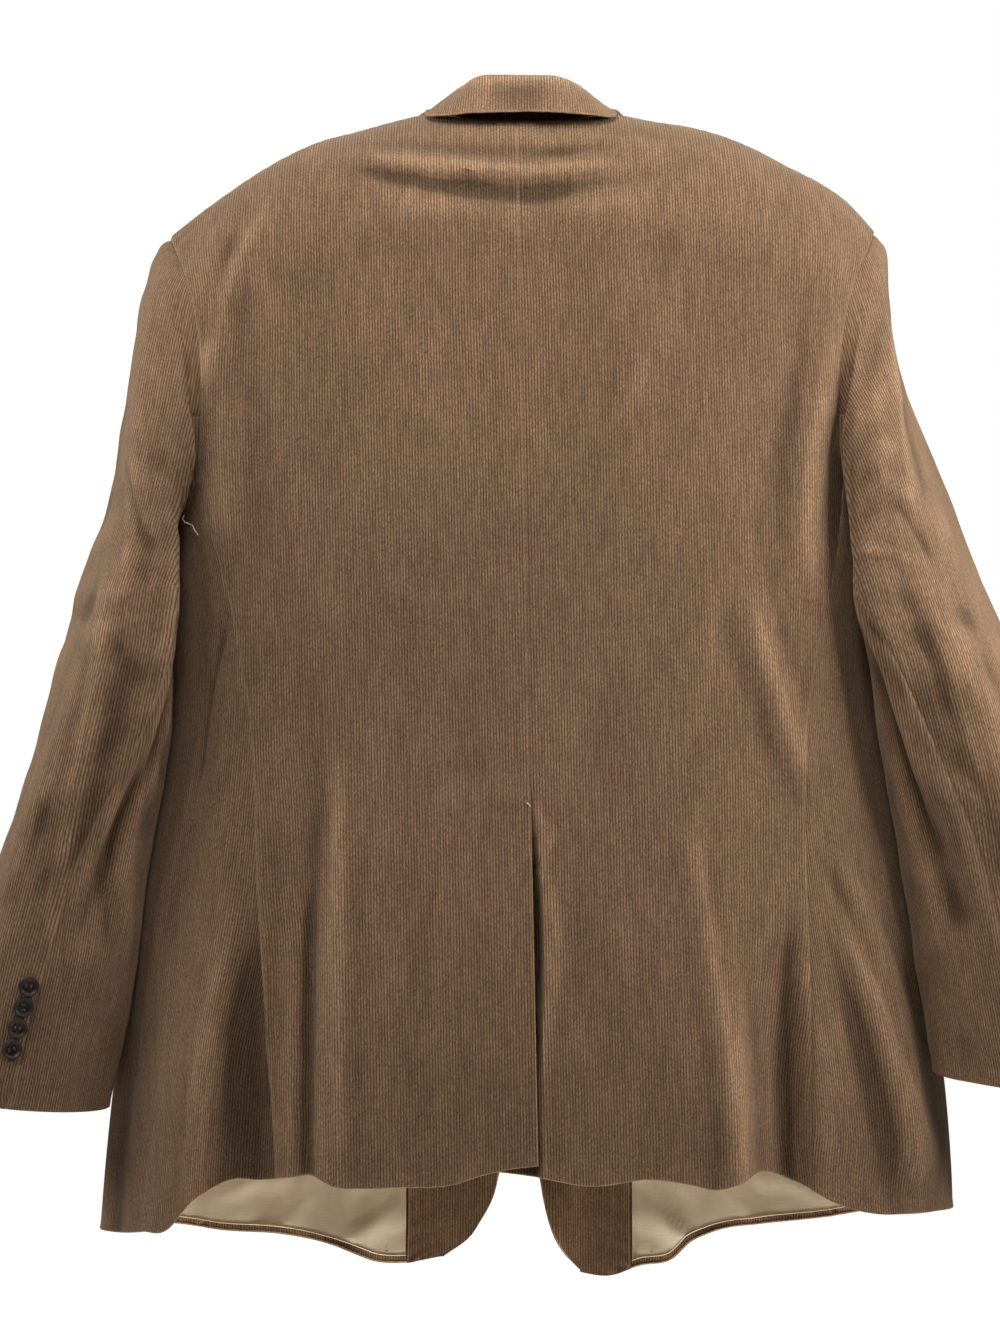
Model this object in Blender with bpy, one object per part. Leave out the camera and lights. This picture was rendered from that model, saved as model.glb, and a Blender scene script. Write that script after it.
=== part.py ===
"""Single-breasted corduroy jacket, hanging filled out with nobody in it.

Metres, +Z up. The jacket faces -Y, and its wearer's left is +X. The origin is the middle of the
neck opening, level with the top of the shoulder seams, where a wearer's neck and shoulders hold it.
Every cloth piece is a thin wall: a grid laid on the jacket's own form, then given its thickness.
Heights are written as drops, the distance below the origin.
"""

import math
from collections import namedtuple

import bmesh
import bpy
import numpy as np
from mathutils import Vector

NAME = "corduroy_jacket"

# Cloth
SHELL = 0.0020            # corduroy with its interlining
LAPEL_WALL = 0.0024       # lapel and collar are two layers of corduroy
FACING_WALL = 0.0014
LINING_WALL = 0.0010
SEAM_GAP = 0.0003         # between two pieces that are sewn together
LAYER_GAP = 0.0004        # between two layers that lie on each other

# Grids. The panels share their rows, so their seams meet point by point: close rows over the
# shoulder, a straight row through the corner of the armhole, and close rows at the hem
ARMHOLE_ROWS = 8
SKIRT_ROWS = 16
ROWS = ARMHOLE_ROWS + SKIRT_ROWS
CORNER_ROW = ARMHOLE_ROWS / ROWS
SHOULDER_SPACING = 1.8
HEM_SPACING = 1.25
NECK_COLUMNS = 4          # of the back, across the neck
BACK_COLUMNS = 12
SIDE_COLUMNS = 6
FACING_COLUMNS = 3        # of the front, between its edge and the edge of the facing
FRONT_COLUMNS = 11
SLEEVE_ROWS = 18
HIND_KNOT = 7             # points of the armhole, counted from its top, where the sleeve seams end
FORE_KNOT = 15
COLLAR_COLUMNS = 24
COLLAR_ROWS = 10
LAPEL_COLUMNS = 5
LAPEL_ROWS = 10
GRID_STEP = 0.002         # step that the slope of a surface is measured over
SOFT_EDGE = 50            # degrees up to which an edge is shaded smooth

# Body
SECTION_POWER = 2.4       # 2 is an ellipse, more is squarer
SHOULDER_ROUND = 0.100    # drop over which the shoulder rounds over to the back and front
NECK_HALF = 0.077         # neck point, from the middle
NECK_BACK = 0.071         # how far the neck seam lies behind the shoulder line
SHOULDER_HALF = 0.2652    # shoulder point, from the middle
ARMHOLE_CORNER = 0.2750   # drop at which the back and front meet the side panel
ARMHOLE_BOTTOM = 0.3265
BACK_HEM = 0.790          # drop at which the back side seam is met by the hem, roughly
FRONT_HEM = 0.830         # the same for the front side seam
CENTRE_START = 0.004      # the centre seam leans a little to the wearer's right
CENTRE_LEAN = -0.0195
VENT_TOP = 0.517
VENT_UNDERLAP = 0.035
VENT_STEP = 0.0050        # how far the right flap lies under the left one
VENT_GAPE = 0.0035        # how far each flap stands off half way down
VENT_GAPE_DROP = 0.66
VENT_GAPE_LENGTH = 0.13   # above and below that drop
VENT_GAPE_WIDTH = 0.055
FLAP_START = 0.0165       # below the top of the vent, where the right flap starts to reach under
FLAP_GROWTH = 0.030       # drop over which it grows to its full width
FLAP_POWER = 6            # how much of the reach is taken up by the columns next to the edge
STEP_START = -0.017       # the same for the step that brings the right flap under the left one
STEP_GROWTH = 0.032
STEP_REACH = 0.020        # the step ends this far beyond the centre seam
STEP_WIDTH = 0.014

# Fronts
FRONT_STEP = 0.0062       # how far the right front lies under the left one
LAP_REACH = 0.045         # the step ends this far from the middle
LAP_WIDTH = 0.022
LAP_START = 0.325         # the same for the drop where the step starts
LAP_GROWTH = 0.090
FACING_WIDTH = 0.0715
FACING_FOOT = 0.800       # below this the facing stays straight while the front is cut away
FACING_SETBACK = 0.04     # share of a column by which facing and lining end short of their edge
LINING_TOP_ROW = 10
LINING_HEM_ROWS = 0.4     # the lining ends short of the hem by this part of a row
LAPEL_LIFT = {"left": 0.0004, "right": 0.0008}   # between the lapel and the front
LAPEL_ROLL = 0.0030       # how far the lapel bows out along its roll line

# Buttons
BUTTON_SEGMENTS = 16
BUTTON_TAPER = 0.9        # of its radius, at its face
FRONT_BUTTON = 0.0200     # diameters
CUFF_BUTTON = 0.0150
BUTTON_HEIGHT = 0.0030
BUTTON_DROPS = (0.478, 0.588)
CUFF_BUTTONS = 4
CUFF_BUTTON_RING = 9.14   # ring of the sleeve that the top cuff button lies at
CUFF_BUTTON_STEP = {"left": 0.146, "right": 0.195}   # rings between two cuff buttons
CUFF_BUTTON_TURN = 6.5    # degrees from the hind seam
TURN_STEP = 0.5           # steps that the slope of a sleeve is measured over
RING_STEP = 0.05

Level = namedtuple("Level", "drop left_half right_half back front")
LEVELS = (
    Level(-0.03, 0.300, 0.300, 0.104, 0.090),
    Level(0.09, 0.300, 0.300, 0.114, 0.106),
    Level(0.20, 0.284, 0.284, 0.120, 0.114),
    Level(0.28, 0.267, 0.267, 0.119, 0.115),
    Level(0.35, 0.263, 0.263, 0.113, 0.113),
    Level(0.45, 0.265, 0.270, 0.105, 0.108),
    Level(0.55, 0.279, 0.289, 0.103, 0.106),
    Level(0.65, 0.293, 0.303, 0.108, 0.106),
    Level(0.73, 0.304, 0.314, 0.114, 0.106),
    Level(0.83, 0.311, 0.321, 0.119, 0.104),
    Level(0.90, 0.313, 0.324, 0.122, 0.103),
)

Shoulder = namedtuple("Shoulder", "across left right")
SHOULDER_LINE = (
    Shoulder(0.0000, -0.0125, -0.0125),
    Shoulder(0.0770, -0.0035, -0.0035),
    Shoulder(0.1000, 0.0022, 0.0010),
    Shoulder(0.1250, 0.0092, 0.0047),
    Shoulder(0.1500, 0.0156, 0.0113),
    Shoulder(0.1750, 0.0266, 0.0214),
    Shoulder(0.2000, 0.0410, 0.0345),
    Shoulder(0.2250, 0.0580, 0.0470),
    Shoulder(0.2450, 0.0725, 0.0608),
    Shoulder(0.2652, 0.0885, 0.0825),
)

# Distance from the middle of the armhole edge of the back and of the front
Armhole = namedtuple("Armhole", "drop back front")
ARMHOLE = (
    Armhole(-0.020, 0.2652, 0.2652),
    Armhole(0.085, 0.2652, 0.2652),
    Armhole(0.105, 0.2570, 0.2555),
    Armhole(0.128, 0.2470, 0.2410),
    Armhole(0.160, 0.2365, 0.2270),
    Armhole(0.200, 0.2315, 0.2200),
    Armhole(0.240, 0.2320, 0.2200),
    Armhole(0.275, 0.2370, 0.2250),
)

# The same for the seams of the side panel, from the armhole to the hem
SideSeam = namedtuple("SideSeam", "drop back_left back_right front")
SIDE_SEAMS = (
    SideSeam(0.275, 0.2370, 0.2370, 0.2250),
    SideSeam(0.331, 0.2210, 0.2310, 0.2235),
    SideSeam(0.387, 0.2080, 0.2190, 0.2200),
    SideSeam(0.462, 0.1968, 0.2070, 0.2160),
    SideSeam(0.510, 0.1938, 0.2050, 0.2170),
    SideSeam(0.573, 0.1920, 0.2060, 0.2220),
    SideSeam(0.668, 0.1865, 0.2080, 0.2300),
    SideSeam(0.788, 0.1777, 0.2074, 0.2360),
    SideSeam(0.880, 0.1740, 0.2070, 0.2380),
)

# Front edge, from the middle towards the front's own side: roll line, overlap, then cut away
Front = namedtuple("Front", "drop left right")
FRONT_EDGES = (
    Front(-0.0035, 0.0770, 0.0770),
    Front(0.050, 0.0700, 0.0700),
    Front(0.100, 0.0620, 0.0620),
    Front(0.200, 0.0440, 0.0440),
    Front(0.300, 0.0250, 0.0250),
    Front(0.400, 0.0020, 0.0020),
    Front(0.455, -0.0185, -0.0185),
    Front(0.500, -0.0200, -0.0200),
    Front(0.600, -0.0185, -0.0190),
    Front(0.700, -0.0030, -0.0080),
    Front(0.800, 0.0165, 0.0144),
    Front(0.818, 0.0212, 0.0175),
    Front(0.835, 0.0304, 0.0215),
    Front(0.850, 0.0413, 0.0270),
    Front(0.861, 0.0575, 0.0340),
    Front(0.873, 0.0800, 0.0460),
)
FRONT_CORNER = {"left": 0.861, "right": 0.872}   # drop at which the cut-away meets the hem

# Drop of the hem by the angle round the body: 0 is centre back, 90 the side, 180 centre front
Hem = namedtuple("Hem", "angle left right")
HEM = (
    Hem(-12.0, 0.7720, 0.7730),
    Hem(0.0, 0.7735, 0.7745),
    Hem(3.0, 0.7785, 0.7800),
    Hem(6.0, 0.7850, 0.7860),
    Hem(13.0, 0.7875, 0.7820),
    Hem(17.5, 0.7880, 0.7850),
    Hem(21.0, 0.7870, 0.7890),
    Hem(24.5, 0.7795, 0.7850),
    Hem(28.0, 0.7815, 0.7785),
    Hem(34.5, 0.7850, 0.7860),
    Hem(39.5, 0.7850, 0.7980),
    Hem(44.0, 0.7960, 0.8050),
    Hem(49.5, 0.8180, 0.8095),
    Hem(58.0, 0.8230, 0.8110),
    Hem(72.0, 0.8275, 0.8110),
    Hem(90.0, 0.8290, 0.8130),
    Hem(127.0, 0.8345, 0.8235),
    Hem(136.0, 0.8400, 0.8300),
    Hem(149.0, 0.8450, 0.8365),
    Hem(157.0, 0.8535, 0.8430),
    Hem(160.0, 0.8600, 0.8510),
    Hem(162.5, 0.8655, 0.8640),
    Hem(167.0, 0.8675, 0.8695),
    Hem(171.0, 0.8640, 0.8770),
    Hem(176.0, 0.8560, 0.8730),
    Hem(184.0, 0.8560, 0.8730),
)

# Folds that run down the body: where each starts and ends, how far it reaches towards the centre
# back and towards the front (degrees), and how far it stands out
Fold = namedtuple("Fold", "side top top_drop foot foot_drop to_back to_front height")
FOLDS = (
    Fold("left", 44.5, 0.560, 46.5, 0.830, 6.0, 20.0, 0.0150),
    Fold("left", 41.0, 0.540, 34.0, 0.830, 9.0, 9.0, -0.0140),
    Fold("left", 25.5, 0.400, 22.0, 0.830, 15.0, 4.5, 0.0090),
    Fold("left", 48.0, 0.070, 52.0, 0.300, 13.0, 12.0, 0.0050),
    Fold("left", 72.0, 0.600, 74.0, 0.830, 12.0, 14.0, -0.0060),
    Fold("left", 128.0, 0.640, 130.0, 0.850, 12.0, 12.0, 0.0080),
    Fold("left", 152.0, 0.700, 158.0, 0.870, 7.0, 7.0, -0.0090),
    Fold("right", 24.5, 0.560, 24.5, 0.830, 14.0, 4.5, 0.0100),
    Fold("right", 34.0, 0.580, 31.5, 0.830, 8.0, 8.0, -0.0150),
    Fold("right", 48.0, 0.560, 60.0, 0.760, 7.0, 14.0, 0.0090),
    Fold("right", 33.0, 0.330, 43.0, 0.480, 6.0, 6.0, 0.0045),
    Fold("right", 47.0, 0.090, 49.0, 0.330, 8.0, 8.0, 0.0050),
    Fold("right", 130.0, 0.640, 134.0, 0.850, 12.0, 12.0, 0.0080),
    Fold("right", 152.0, 0.700, 158.0, 0.870, 7.0, 7.0, -0.0080),
)

HEM_FOLD_DROP = 0.77      # a fold that ends above this drop fades out, one below runs off the hem
FOLD_START = 1.6          # a fold is full at this part of its length, taken from 1
FOLD_END = 4.0
FOLD_SHOULDER = 0.33      # part of the shoulder's roundness over which the folds grow

# Folds that run across the back under the collar
Band = namedtuple("Band", "drop rise reach width height")
NECK_BANDS = (
    Band(0.034, 0.10, 0.090, 0.011, 0.0035),
    Band(0.053, 0.16, 0.110, 0.012, -0.0035),
)

# One row for each ring of a sleeve, from the armhole to the cuff. A ring joins its outermost and
# innermost points; depth is its half depth, back_shift moves it back, and skew slides its back
# towards the body (negative) or away from it
Ring = namedtuple("Ring", "outer outer_drop inner inner_drop depth back_shift skew hind fore")
SLEEVE_RINGS = {
    "left": (
        Ring(0.2735, 0.0980, 0.2630, 0.3275, 0.080, 0.000, 0.00, 104, 236),
        Ring(0.2868, 0.1400, 0.2640, 0.3300, 0.083, 0.000, -0.05, 118, 235),
        Ring(0.3020, 0.2270, 0.2650, 0.3360, 0.085, 0.000, -0.10, 130, 234),
        Ring(0.3190, 0.2960, 0.2610, 0.3480, 0.085, 0.004, -0.22, 134, 233),
        Ring(0.3385, 0.3590, 0.2570, 0.3740, 0.083, 0.011, -0.26, 131, 232),
        Ring(0.3448, 0.4010, 0.2570, 0.4080, 0.079, 0.018, -0.22, 123, 232),
        Ring(0.3625, 0.4740, 0.2560, 0.4700, 0.068, 0.026, -0.10, 112, 233),
        Ring(0.3825, 0.5540, 0.2690, 0.5420, 0.056, 0.034, 0.10, 106, 235),
        Ring(0.4090, 0.6390, 0.2810, 0.6280, 0.045, 0.042, 0.15, 98, 238),
        Ring(0.4315, 0.7240, 0.3010, 0.7360, 0.036, 0.048, 0.05, 88, 240),
    ),
    "right": (
        Ring(0.2725, 0.0945, 0.2630, 0.3275, 0.080, 0.000, 0.00, 104, 236),
        Ring(0.2780, 0.1300, 0.2640, 0.3300, 0.083, 0.000, -0.06, 114, 235),
        Ring(0.2955, 0.2050, 0.2630, 0.3350, 0.086, 0.001, -0.14, 126, 234),
        Ring(0.3240, 0.2655, 0.2560, 0.3460, 0.085, 0.004, -0.28, 128, 233),
        Ring(0.3520, 0.3490, 0.2500, 0.3740, 0.080, 0.012, -0.34, 116, 232),
        Ring(0.3720, 0.4100, 0.2560, 0.4160, 0.072, 0.022, -0.26, 108, 232),
        Ring(0.3945, 0.4900, 0.2650, 0.4870, 0.062, 0.034, -0.14, 104, 233),
        Ring(0.4110, 0.5600, 0.2760, 0.5480, 0.053, 0.044, 0.08, 106, 235),
        Ring(0.4280, 0.6480, 0.2875, 0.6310, 0.044, 0.052, 0.22, 105, 238),
        Ring(0.4430, 0.7270, 0.3000, 0.7100, 0.036, 0.056, 0.10, 100, 240),
    ),
}
ARMHOLE_HIND = 98         # degrees of the two sleeve seams at the armhole
ARMHOLE_FORE = 238
RING_SPACING = 1.15       # closer rows at the top of a sleeve
SLEEVE_SEAM_TURN = 0.9    # degrees that the two parts of a sleeve keep from their seams
SLEEVE_SEAM_KNOT = 0.015  # the same at the armhole, in knots
SLEEVE_INSET = 0.0020     # the sleeve starts this far inside the edge of the armhole
SLEEVE_STANDOFF = 0.0010  # and this far beyond it
SLEEVE_THINNEST = 0.004   # least half width of a ring
FIRST_RING_REACH = 0.0080  # from the armhole seam out to the first ring
FIRST_RING_DROP = 0.0095
CUFF_DROOP = 0.005        # how much lower the back of a cuff is

# Folds of the sleeves: ring positions and angles of their ends, their reach, and their height
SleeveFold = namedtuple("SleeveFold", "side top top_angle foot foot_angle reach_up reach_down height")
SLEEVE_FOLDS = (
    SleeveFold("left", 3.6, 62, 9.6, 66, 34, 40, 0.0065),
    SleeveFold("left", 5.4, 150, 9.0, 118, 16, 16, -0.0080),
    SleeveFold("left", 5.0, 300, 9.0, 300, 30, 30, 0.0050),
    SleeveFold("right", 1.8, 62, 4.6, 64, 26, 40, 0.0075),
    SleeveFold("right", 4.6, 66, 9.0, 78, 30, 20, 0.0070),
    SleeveFold("right", 5.4, 142, 9.4, 132, 24, 20, -0.0080),
    SleeveFold("right", 5.0, 300, 9.0, 300, 30, 30, 0.0050),
)
SLEEVE_FOLD_END = 4.0      # the ends over which such a fold fades are a quarter of its length
SLEEVE_CLEARANCE = 0.0045  # between a sleeve and the side of the body it hangs against
SLEEVE_START = 0.0020      # the same where the sleeve leaves the armhole
SLEEVE_SOFTNESS = 0.004    # how gradually the body pushes the sleeve away
SLEEVE_PUSH_START = 0.004  # above the floor of the armhole, where that starts
SLEEVE_PUSH_GROWTH = 0.020  # below the floor, where the clearance is full
WALL_REACH = 0.97          # share of the body's depth up to which its side is a wall

# The collar by its angle round the neck from centre back: its fold and its free edge. Across is
# towards the collar's own side, back is +Y, up is +Z
Collar = namedtuple("Collar", "angle fold_x fold_y fold_z edge_x edge_y edge_z")
COLLAR = (
    Collar(0, 0.0000, 0.0610, 0.0225, 0.0000, 0.0905, -0.0085),
    Collar(30, 0.0290, 0.0550, 0.0225, 0.0370, 0.0880, -0.0115),
    Collar(60, 0.0470, 0.0330, 0.0185, 0.0700, 0.0620, -0.0120),
    Collar(90, 0.0540, 0.0000, 0.0145, 0.0775, 0.0100, 0.0056),
    Collar(120, 0.0575, -0.0350, 0.0020, 0.0965, -0.0465, -0.0085),
    Collar(150, 0.0593, -0.0690, -0.0285, 0.1095, -0.0790, -0.0440),
    Collar(172, 0.0562, -0.0985, -0.0645, 0.1045, -0.1030, -0.0862),
)
COLLAR_END = 172
COLLAR_INSET = 0.0069     # from the neck edge to the face of the stand
COLLAR_RISE = 0.0014      # from the neck edge up to the foot of the stand
COLLAR_TURN = 0.0075      # between the stand and the fall, at the fold
COLLAR_TURN_SHARE = 0.12  # of the rows, to each side of the fold
COLLAR_CLEARANCE = 0.0043  # from the body to the outside of the fall
GORGE_DROP = 0.0672       # where the roll line passes from the collar to the lapel
GORGE_SPACING = 1.6

# The lapel: its free edge and its roll line, from the gorge to its lower end
Lapel = namedtuple("Lapel", "along edge edge_drop roll_drop")
LAPEL = (
    Lapel(0.00, 0.1310, 0.1035, 0.0725),
    Lapel(0.12, 0.1330, 0.1290, 0.0960),
    Lapel(0.35, 0.1160, 0.1980, 0.1700),
    Lapel(0.60, 0.0790, 0.2800, 0.2550),
    Lapel(0.85, 0.0300, 0.3620, 0.3450),
    Lapel(1.00, 0.0045, 0.4030, 0.3880),
)

COLOURS = {
    "corduroy": ((0.165, 0.098, 0.050, 1.0), 0.90),
    "lining": ((0.390, 0.295, 0.180, 1.0), 0.55),
    "button": ((0.035, 0.026, 0.020, 1.0), 0.45),
}


def smooth_curve(rows, key, value):
    """A function that runs smoothly through one column of a table."""
    knots = np.array([getattr(row, key) for row in rows], dtype=float)
    heights = np.array([getattr(row, value) for row in rows], dtype=float)
    slopes = np.gradient(heights, knots)

    def at(place):
        place = np.clip(place, knots[0], knots[-1])
        low = np.clip(np.searchsorted(knots, place, side="right") - 1, 0, len(knots) - 2)
        span = knots[low + 1] - knots[low]
        part = (place - knots[low]) / span
        rest = 1.0 - part
        return (
            heights[low] * (1 + 2 * part) * rest**2
            + heights[low + 1] * (3 - 2 * part) * part**2
            + span * part * rest * (slopes[low] * rest - slopes[low + 1] * part)
        )

    return at


def ease(place):
    """0 below 0, 1 above 1, smooth between."""
    place = np.clip(place, 0.0, 1.0)
    return place * place * (3 - 2 * place)


def bump(place):
    """1 at 0, falling smoothly to 0 at -1 and 1."""
    return 0.5 + 0.5 * np.cos(np.pi * np.clip(place, -1.0, 1.0))


def unit(vectors):
    return vectors / np.maximum(np.linalg.norm(vectors, axis=-1, keepdims=True), 1e-12)


SIDES = ("left", "right")
SIGN = {"left": 1.0, "right": -1.0}
HALF = {side: smooth_curve(LEVELS, "drop", side + "_half") for side in SIDES}
BACK_DEPTH = smooth_curve(LEVELS, "drop", "back")
FRONT_DEPTH = smooth_curve(LEVELS, "drop", "front")
SHOULDER = {side: smooth_curve(SHOULDER_LINE, "across", side) for side in SIDES}
BACK_ARMHOLE = smooth_curve(ARMHOLE, "drop", "back")
FRONT_ARMHOLE = smooth_curve(ARMHOLE, "drop", "front")
BACK_SEAM = {side: smooth_curve(SIDE_SEAMS, "drop", "back_" + side) for side in SIDES}
FRONT_SEAM = smooth_curve(SIDE_SEAMS, "drop", "front")
FRONT_EDGE = {side: smooth_curve(FRONT_EDGES, "drop", side) for side in SIDES}
HEM_DROP = {side: smooth_curve(HEM, "angle", side) for side in SIDES}


def back_edge(side, drop):
    """Outer edge of the back: the armhole, and below it the side seam."""
    return np.where(drop < ARMHOLE_CORNER, BACK_ARMHOLE(drop), BACK_SEAM[side](drop))


def front_side_edge(drop):
    """Outer edge of the front: the armhole, and below it the side seam."""
    return np.where(drop < ARMHOLE_CORNER, FRONT_ARMHOLE(drop), FRONT_SEAM(drop))


def angle_at(side, across, drop):
    """Angle round the body of a point of the back at a distance from the middle."""
    share = np.clip(np.abs(across) / HALF[side](drop), 0, 1)
    return np.sign(across) * np.degrees(np.arcsin(share ** (SECTION_POWER / 2)))


def fold_height(side, angle, drop):
    """How far the folds move the body's cloth out at an angle and a drop."""
    total = np.zeros(np.broadcast(angle, drop).shape)
    for fold in FOLDS:
        if fold.side != side:
            continue
        along = (drop - fold.top_drop) / (fold.foot_drop - fold.top_drop)
        off = angle - (fold.top + (fold.foot - fold.top) * np.clip(along, 0, 1))
        reach = np.where(off < 0, fold.to_back, fold.to_front)
        ends_above_hem = fold.foot_drop < HEM_FOLD_DROP
        fade = ease(along * FOLD_START) * (1 - ease((along - 1.0) * FOLD_END) * ends_above_hem)
        total = total + fold.height * fade * bump(off / reach)
    return total


def signed_power(value, power):
    return np.sign(value) * np.abs(value) ** power


def body(side, angle, drop):
    """Outside of the body at an angle and a drop: distance towards its own side, and back."""
    turn = np.radians(angle)
    half = HALF[side](drop)
    depth = np.where(angle < 90, BACK_DEPTH(drop), FRONT_DEPTH(drop))
    power = 2 / SECTION_POWER
    across = half * signed_power(np.sin(turn), power)
    back = depth * signed_power(np.cos(turn), power)
    below = np.clip((drop - SHOULDER[side](np.abs(across))) / SHOULDER_ROUND, 0, 1)
    back = back * np.sqrt(1 - (1 - below) ** 2)
    out = fold_height(side, np.abs(angle), drop) * ease(below / FOLD_SHOULDER)
    normal_x = signed_power(np.sin(turn), 2 - power) / half
    normal_y = signed_power(np.cos(turn), 2 - power) / depth
    length = np.hypot(normal_x, normal_y)
    return across + out * normal_x / length, back + out * normal_y / length


def centre(side, drop):
    """Distance of the centre back seam from the middle, towards a side."""
    return SIGN[side] * (CENTRE_START + CENTRE_LEAN * drop)


def neck_drop(across):
    """Drop of the back neck seam: an arc in plan, laid on the back."""
    arc = NECK_BACK * np.sqrt(np.clip(1 - (across / NECK_HALF) ** 2, 0, 1))
    share = np.clip(np.abs(across) / HALF["left"](0.0), 0, 1)
    depth = BACK_DEPTH(0.0) * (1 - share**SECTION_POWER) ** (1 / SECTION_POWER)
    rise = np.sqrt(1 - np.clip(arc / depth, 0, 1) ** 2)
    return SHOULDER["left"](np.abs(across)) + SHOULDER_ROUND * (1 - rise)


def place(side, across, back, drop):
    """World points of a piece, turned to its own side."""
    return np.stack([SIGN[side] * across, back, -drop], axis=-1)


def panel_drop(v, top, foot):
    """Drop of a row of the back or front."""
    above = np.clip(v / CORNER_ROW, 0, 1) ** SHOULDER_SPACING
    below = skirt_share(np.clip((v - CORNER_ROW) / (1 - CORNER_ROW), 0, 1))
    return top + (ARMHOLE_CORNER - top) * above + (foot - ARMHOLE_CORNER) * below


def skirt_share(v):
    return 1 - (1 - v) ** HEM_SPACING


def back_share(side, u, v):
    """Where a column of the back lies between the centre seam and its outer edge."""
    neck_part = NECK_COLUMNS / BACK_COLUMNS
    neck_share = (NECK_HALF - centre(side, 0.0)) / (SHOULDER_HALF - centre(side, 0.0))
    even = neck_share * np.minimum(u / neck_part, 1)
    round_neck = neck_share * np.sin(0.5 * np.pi * np.minimum(u / neck_part, 1))
    neck = round_neck + (even - round_neck) * ease(v / CORNER_ROW)
    return neck + (1 - neck_share) * np.clip((u - neck_part) / (1 - neck_part), 0, 1)


def neck_bands(across, drop):
    """How far the folds under the collar move the back's cloth out."""
    total = 0.0
    for band in NECK_BANDS:
        middle = band.drop + band.rise * np.abs(across)
        total = total + band.height * bump((drop - middle) / band.width) * bump(across / band.reach)
    return total


def back_panel(side):
    """Back, from the centre seam to the side seam and from the neck to the hem."""
    def top_at(across):
        neck = np.abs(across) < NECK_HALF
        return np.where(neck, neck_drop(across), SHOULDER[side](np.abs(across)))

    def across_at(share, drop):
        inner = centre(side, drop) + 0.5 * SEAM_GAP
        return inner + (back_edge(side, drop) - 0.5 * SEAM_GAP - inner) * share

    def at(u, v):
        share = back_share(side, u, v)
        foot = HEM_DROP[side](angle_at(side, across_at(share, BACK_HEM), BACK_HEM))
        top = top_at(across_at(share, 0.0))
        across = across_at(share, panel_drop(v, top, foot))
        drop = panel_drop(v, top_at(across_at(share, top)), foot)
        middle = centre(side, drop)
        gape = VENT_GAPE * bump((drop - VENT_GAPE_DROP) / VENT_GAPE_LENGTH)
        gape = gape * bump((across - middle) / VENT_GAPE_WIDTH)
        if side == "right":
            reach = VENT_UNDERLAP * ease((drop - VENT_TOP - FLAP_START) / FLAP_GROWTH)
            across = across - reach * (1 - u) ** FLAP_POWER
            under = ease((drop - VENT_TOP - STEP_START) / STEP_GROWTH)
            under = under * ease((middle + STEP_REACH - across) / STEP_WIDTH)
            out = -VENT_STEP * under - gape
        else:
            out = gape
        x, y = body(side, angle_at(side, across, drop), drop)
        return place(side, x, y + out + neck_bands(across, drop), drop)
    return at


def side_span(side, drop):
    """Angles of the two seams of the side panel at a drop."""
    start = angle_at(side, BACK_SEAM[side](drop) + 0.5 * SEAM_GAP, drop)
    stop = 180 - angle_at(side, FRONT_SEAM(drop) + 0.5 * SEAM_GAP, drop)
    return start, stop


def armhole_floor(u):
    """Drop of the armhole over the side panel."""
    return ARMHOLE_BOTTOM - (ARMHOLE_BOTTOM - ARMHOLE_CORNER) * (2 * u - 1) ** 2


def side_panel(side):
    """Side, from the back seam to the front seam and from the armhole to the hem."""
    def at(u, v):
        foot_back = angle_at(side, BACK_SEAM[side](BACK_HEM), BACK_HEM)
        foot_front = 180 - angle_at(side, FRONT_SEAM(FRONT_HEM), FRONT_HEM)
        foot = HEM_DROP[side](foot_back + (foot_front - foot_back) * u)
        top = armhole_floor(u)
        drop = top + (foot - top) * skirt_share(v)
        start, stop = side_span(side, drop)
        x, y = body(side, start + (stop - start) * u, drop)
        return place(side, x, y, drop)
    return at


def front_point(side, across, drop):
    """Outside of the front at a distance from the middle."""
    x, y = body(side, 180 - angle_at(side, across, drop), drop)
    if side == "right":
        lap = ease((LAP_REACH - across) / LAP_WIDTH) * ease((drop - LAP_START) / LAP_GROWTH)
        y = y + FRONT_STEP * lap
    return x, y


def front_panel(side):
    """Front, from the side seam to its edge and from the shoulder to the hem."""
    facing_part = 1 - FACING_COLUMNS / FRONT_COLUMNS

    def across_at(u, drop, edge_drop):
        outer = front_side_edge(drop) - 0.5 * SEAM_GAP
        line = FRONT_EDGE[side](np.minimum(drop, FACING_FOOT)) + FACING_WIDTH
        inner = FRONT_EDGE[side](edge_drop)
        panel = outer + (line - outer) * np.minimum(u / facing_part, 1)
        return panel + (inner - line) * np.clip((u - facing_part) / (1 - facing_part), 0, 1)

    def at(u, v):
        foot_across = across_at(u, FRONT_HEM, FRONT_CORNER[side])
        foot = HEM_DROP[side](180 - angle_at(side, foot_across, FRONT_HEM))
        top = SHOULDER[side](across_at(u, 0.0, 0.0))
        drop = panel_drop(v, top, foot)
        across = across_at(u, drop, drop)
        drop = panel_drop(v, SHOULDER[side](across_at(u, top, top)), foot)
        x, y = front_point(side, across, drop)
        return place(side, x, y, drop)
    return at


def facing(side):
    """Facing, along the inside of the front's edge, on the front's own grid points."""
    front = front_panel(side)

    def at(u, v):
        first = FRONT_COLUMNS - FACING_COLUMNS + FACING_SETBACK
        last = FRONT_COLUMNS - FACING_SETBACK
        return front((first + (last - first) * u) / FRONT_COLUMNS, v)
    return at


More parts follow.
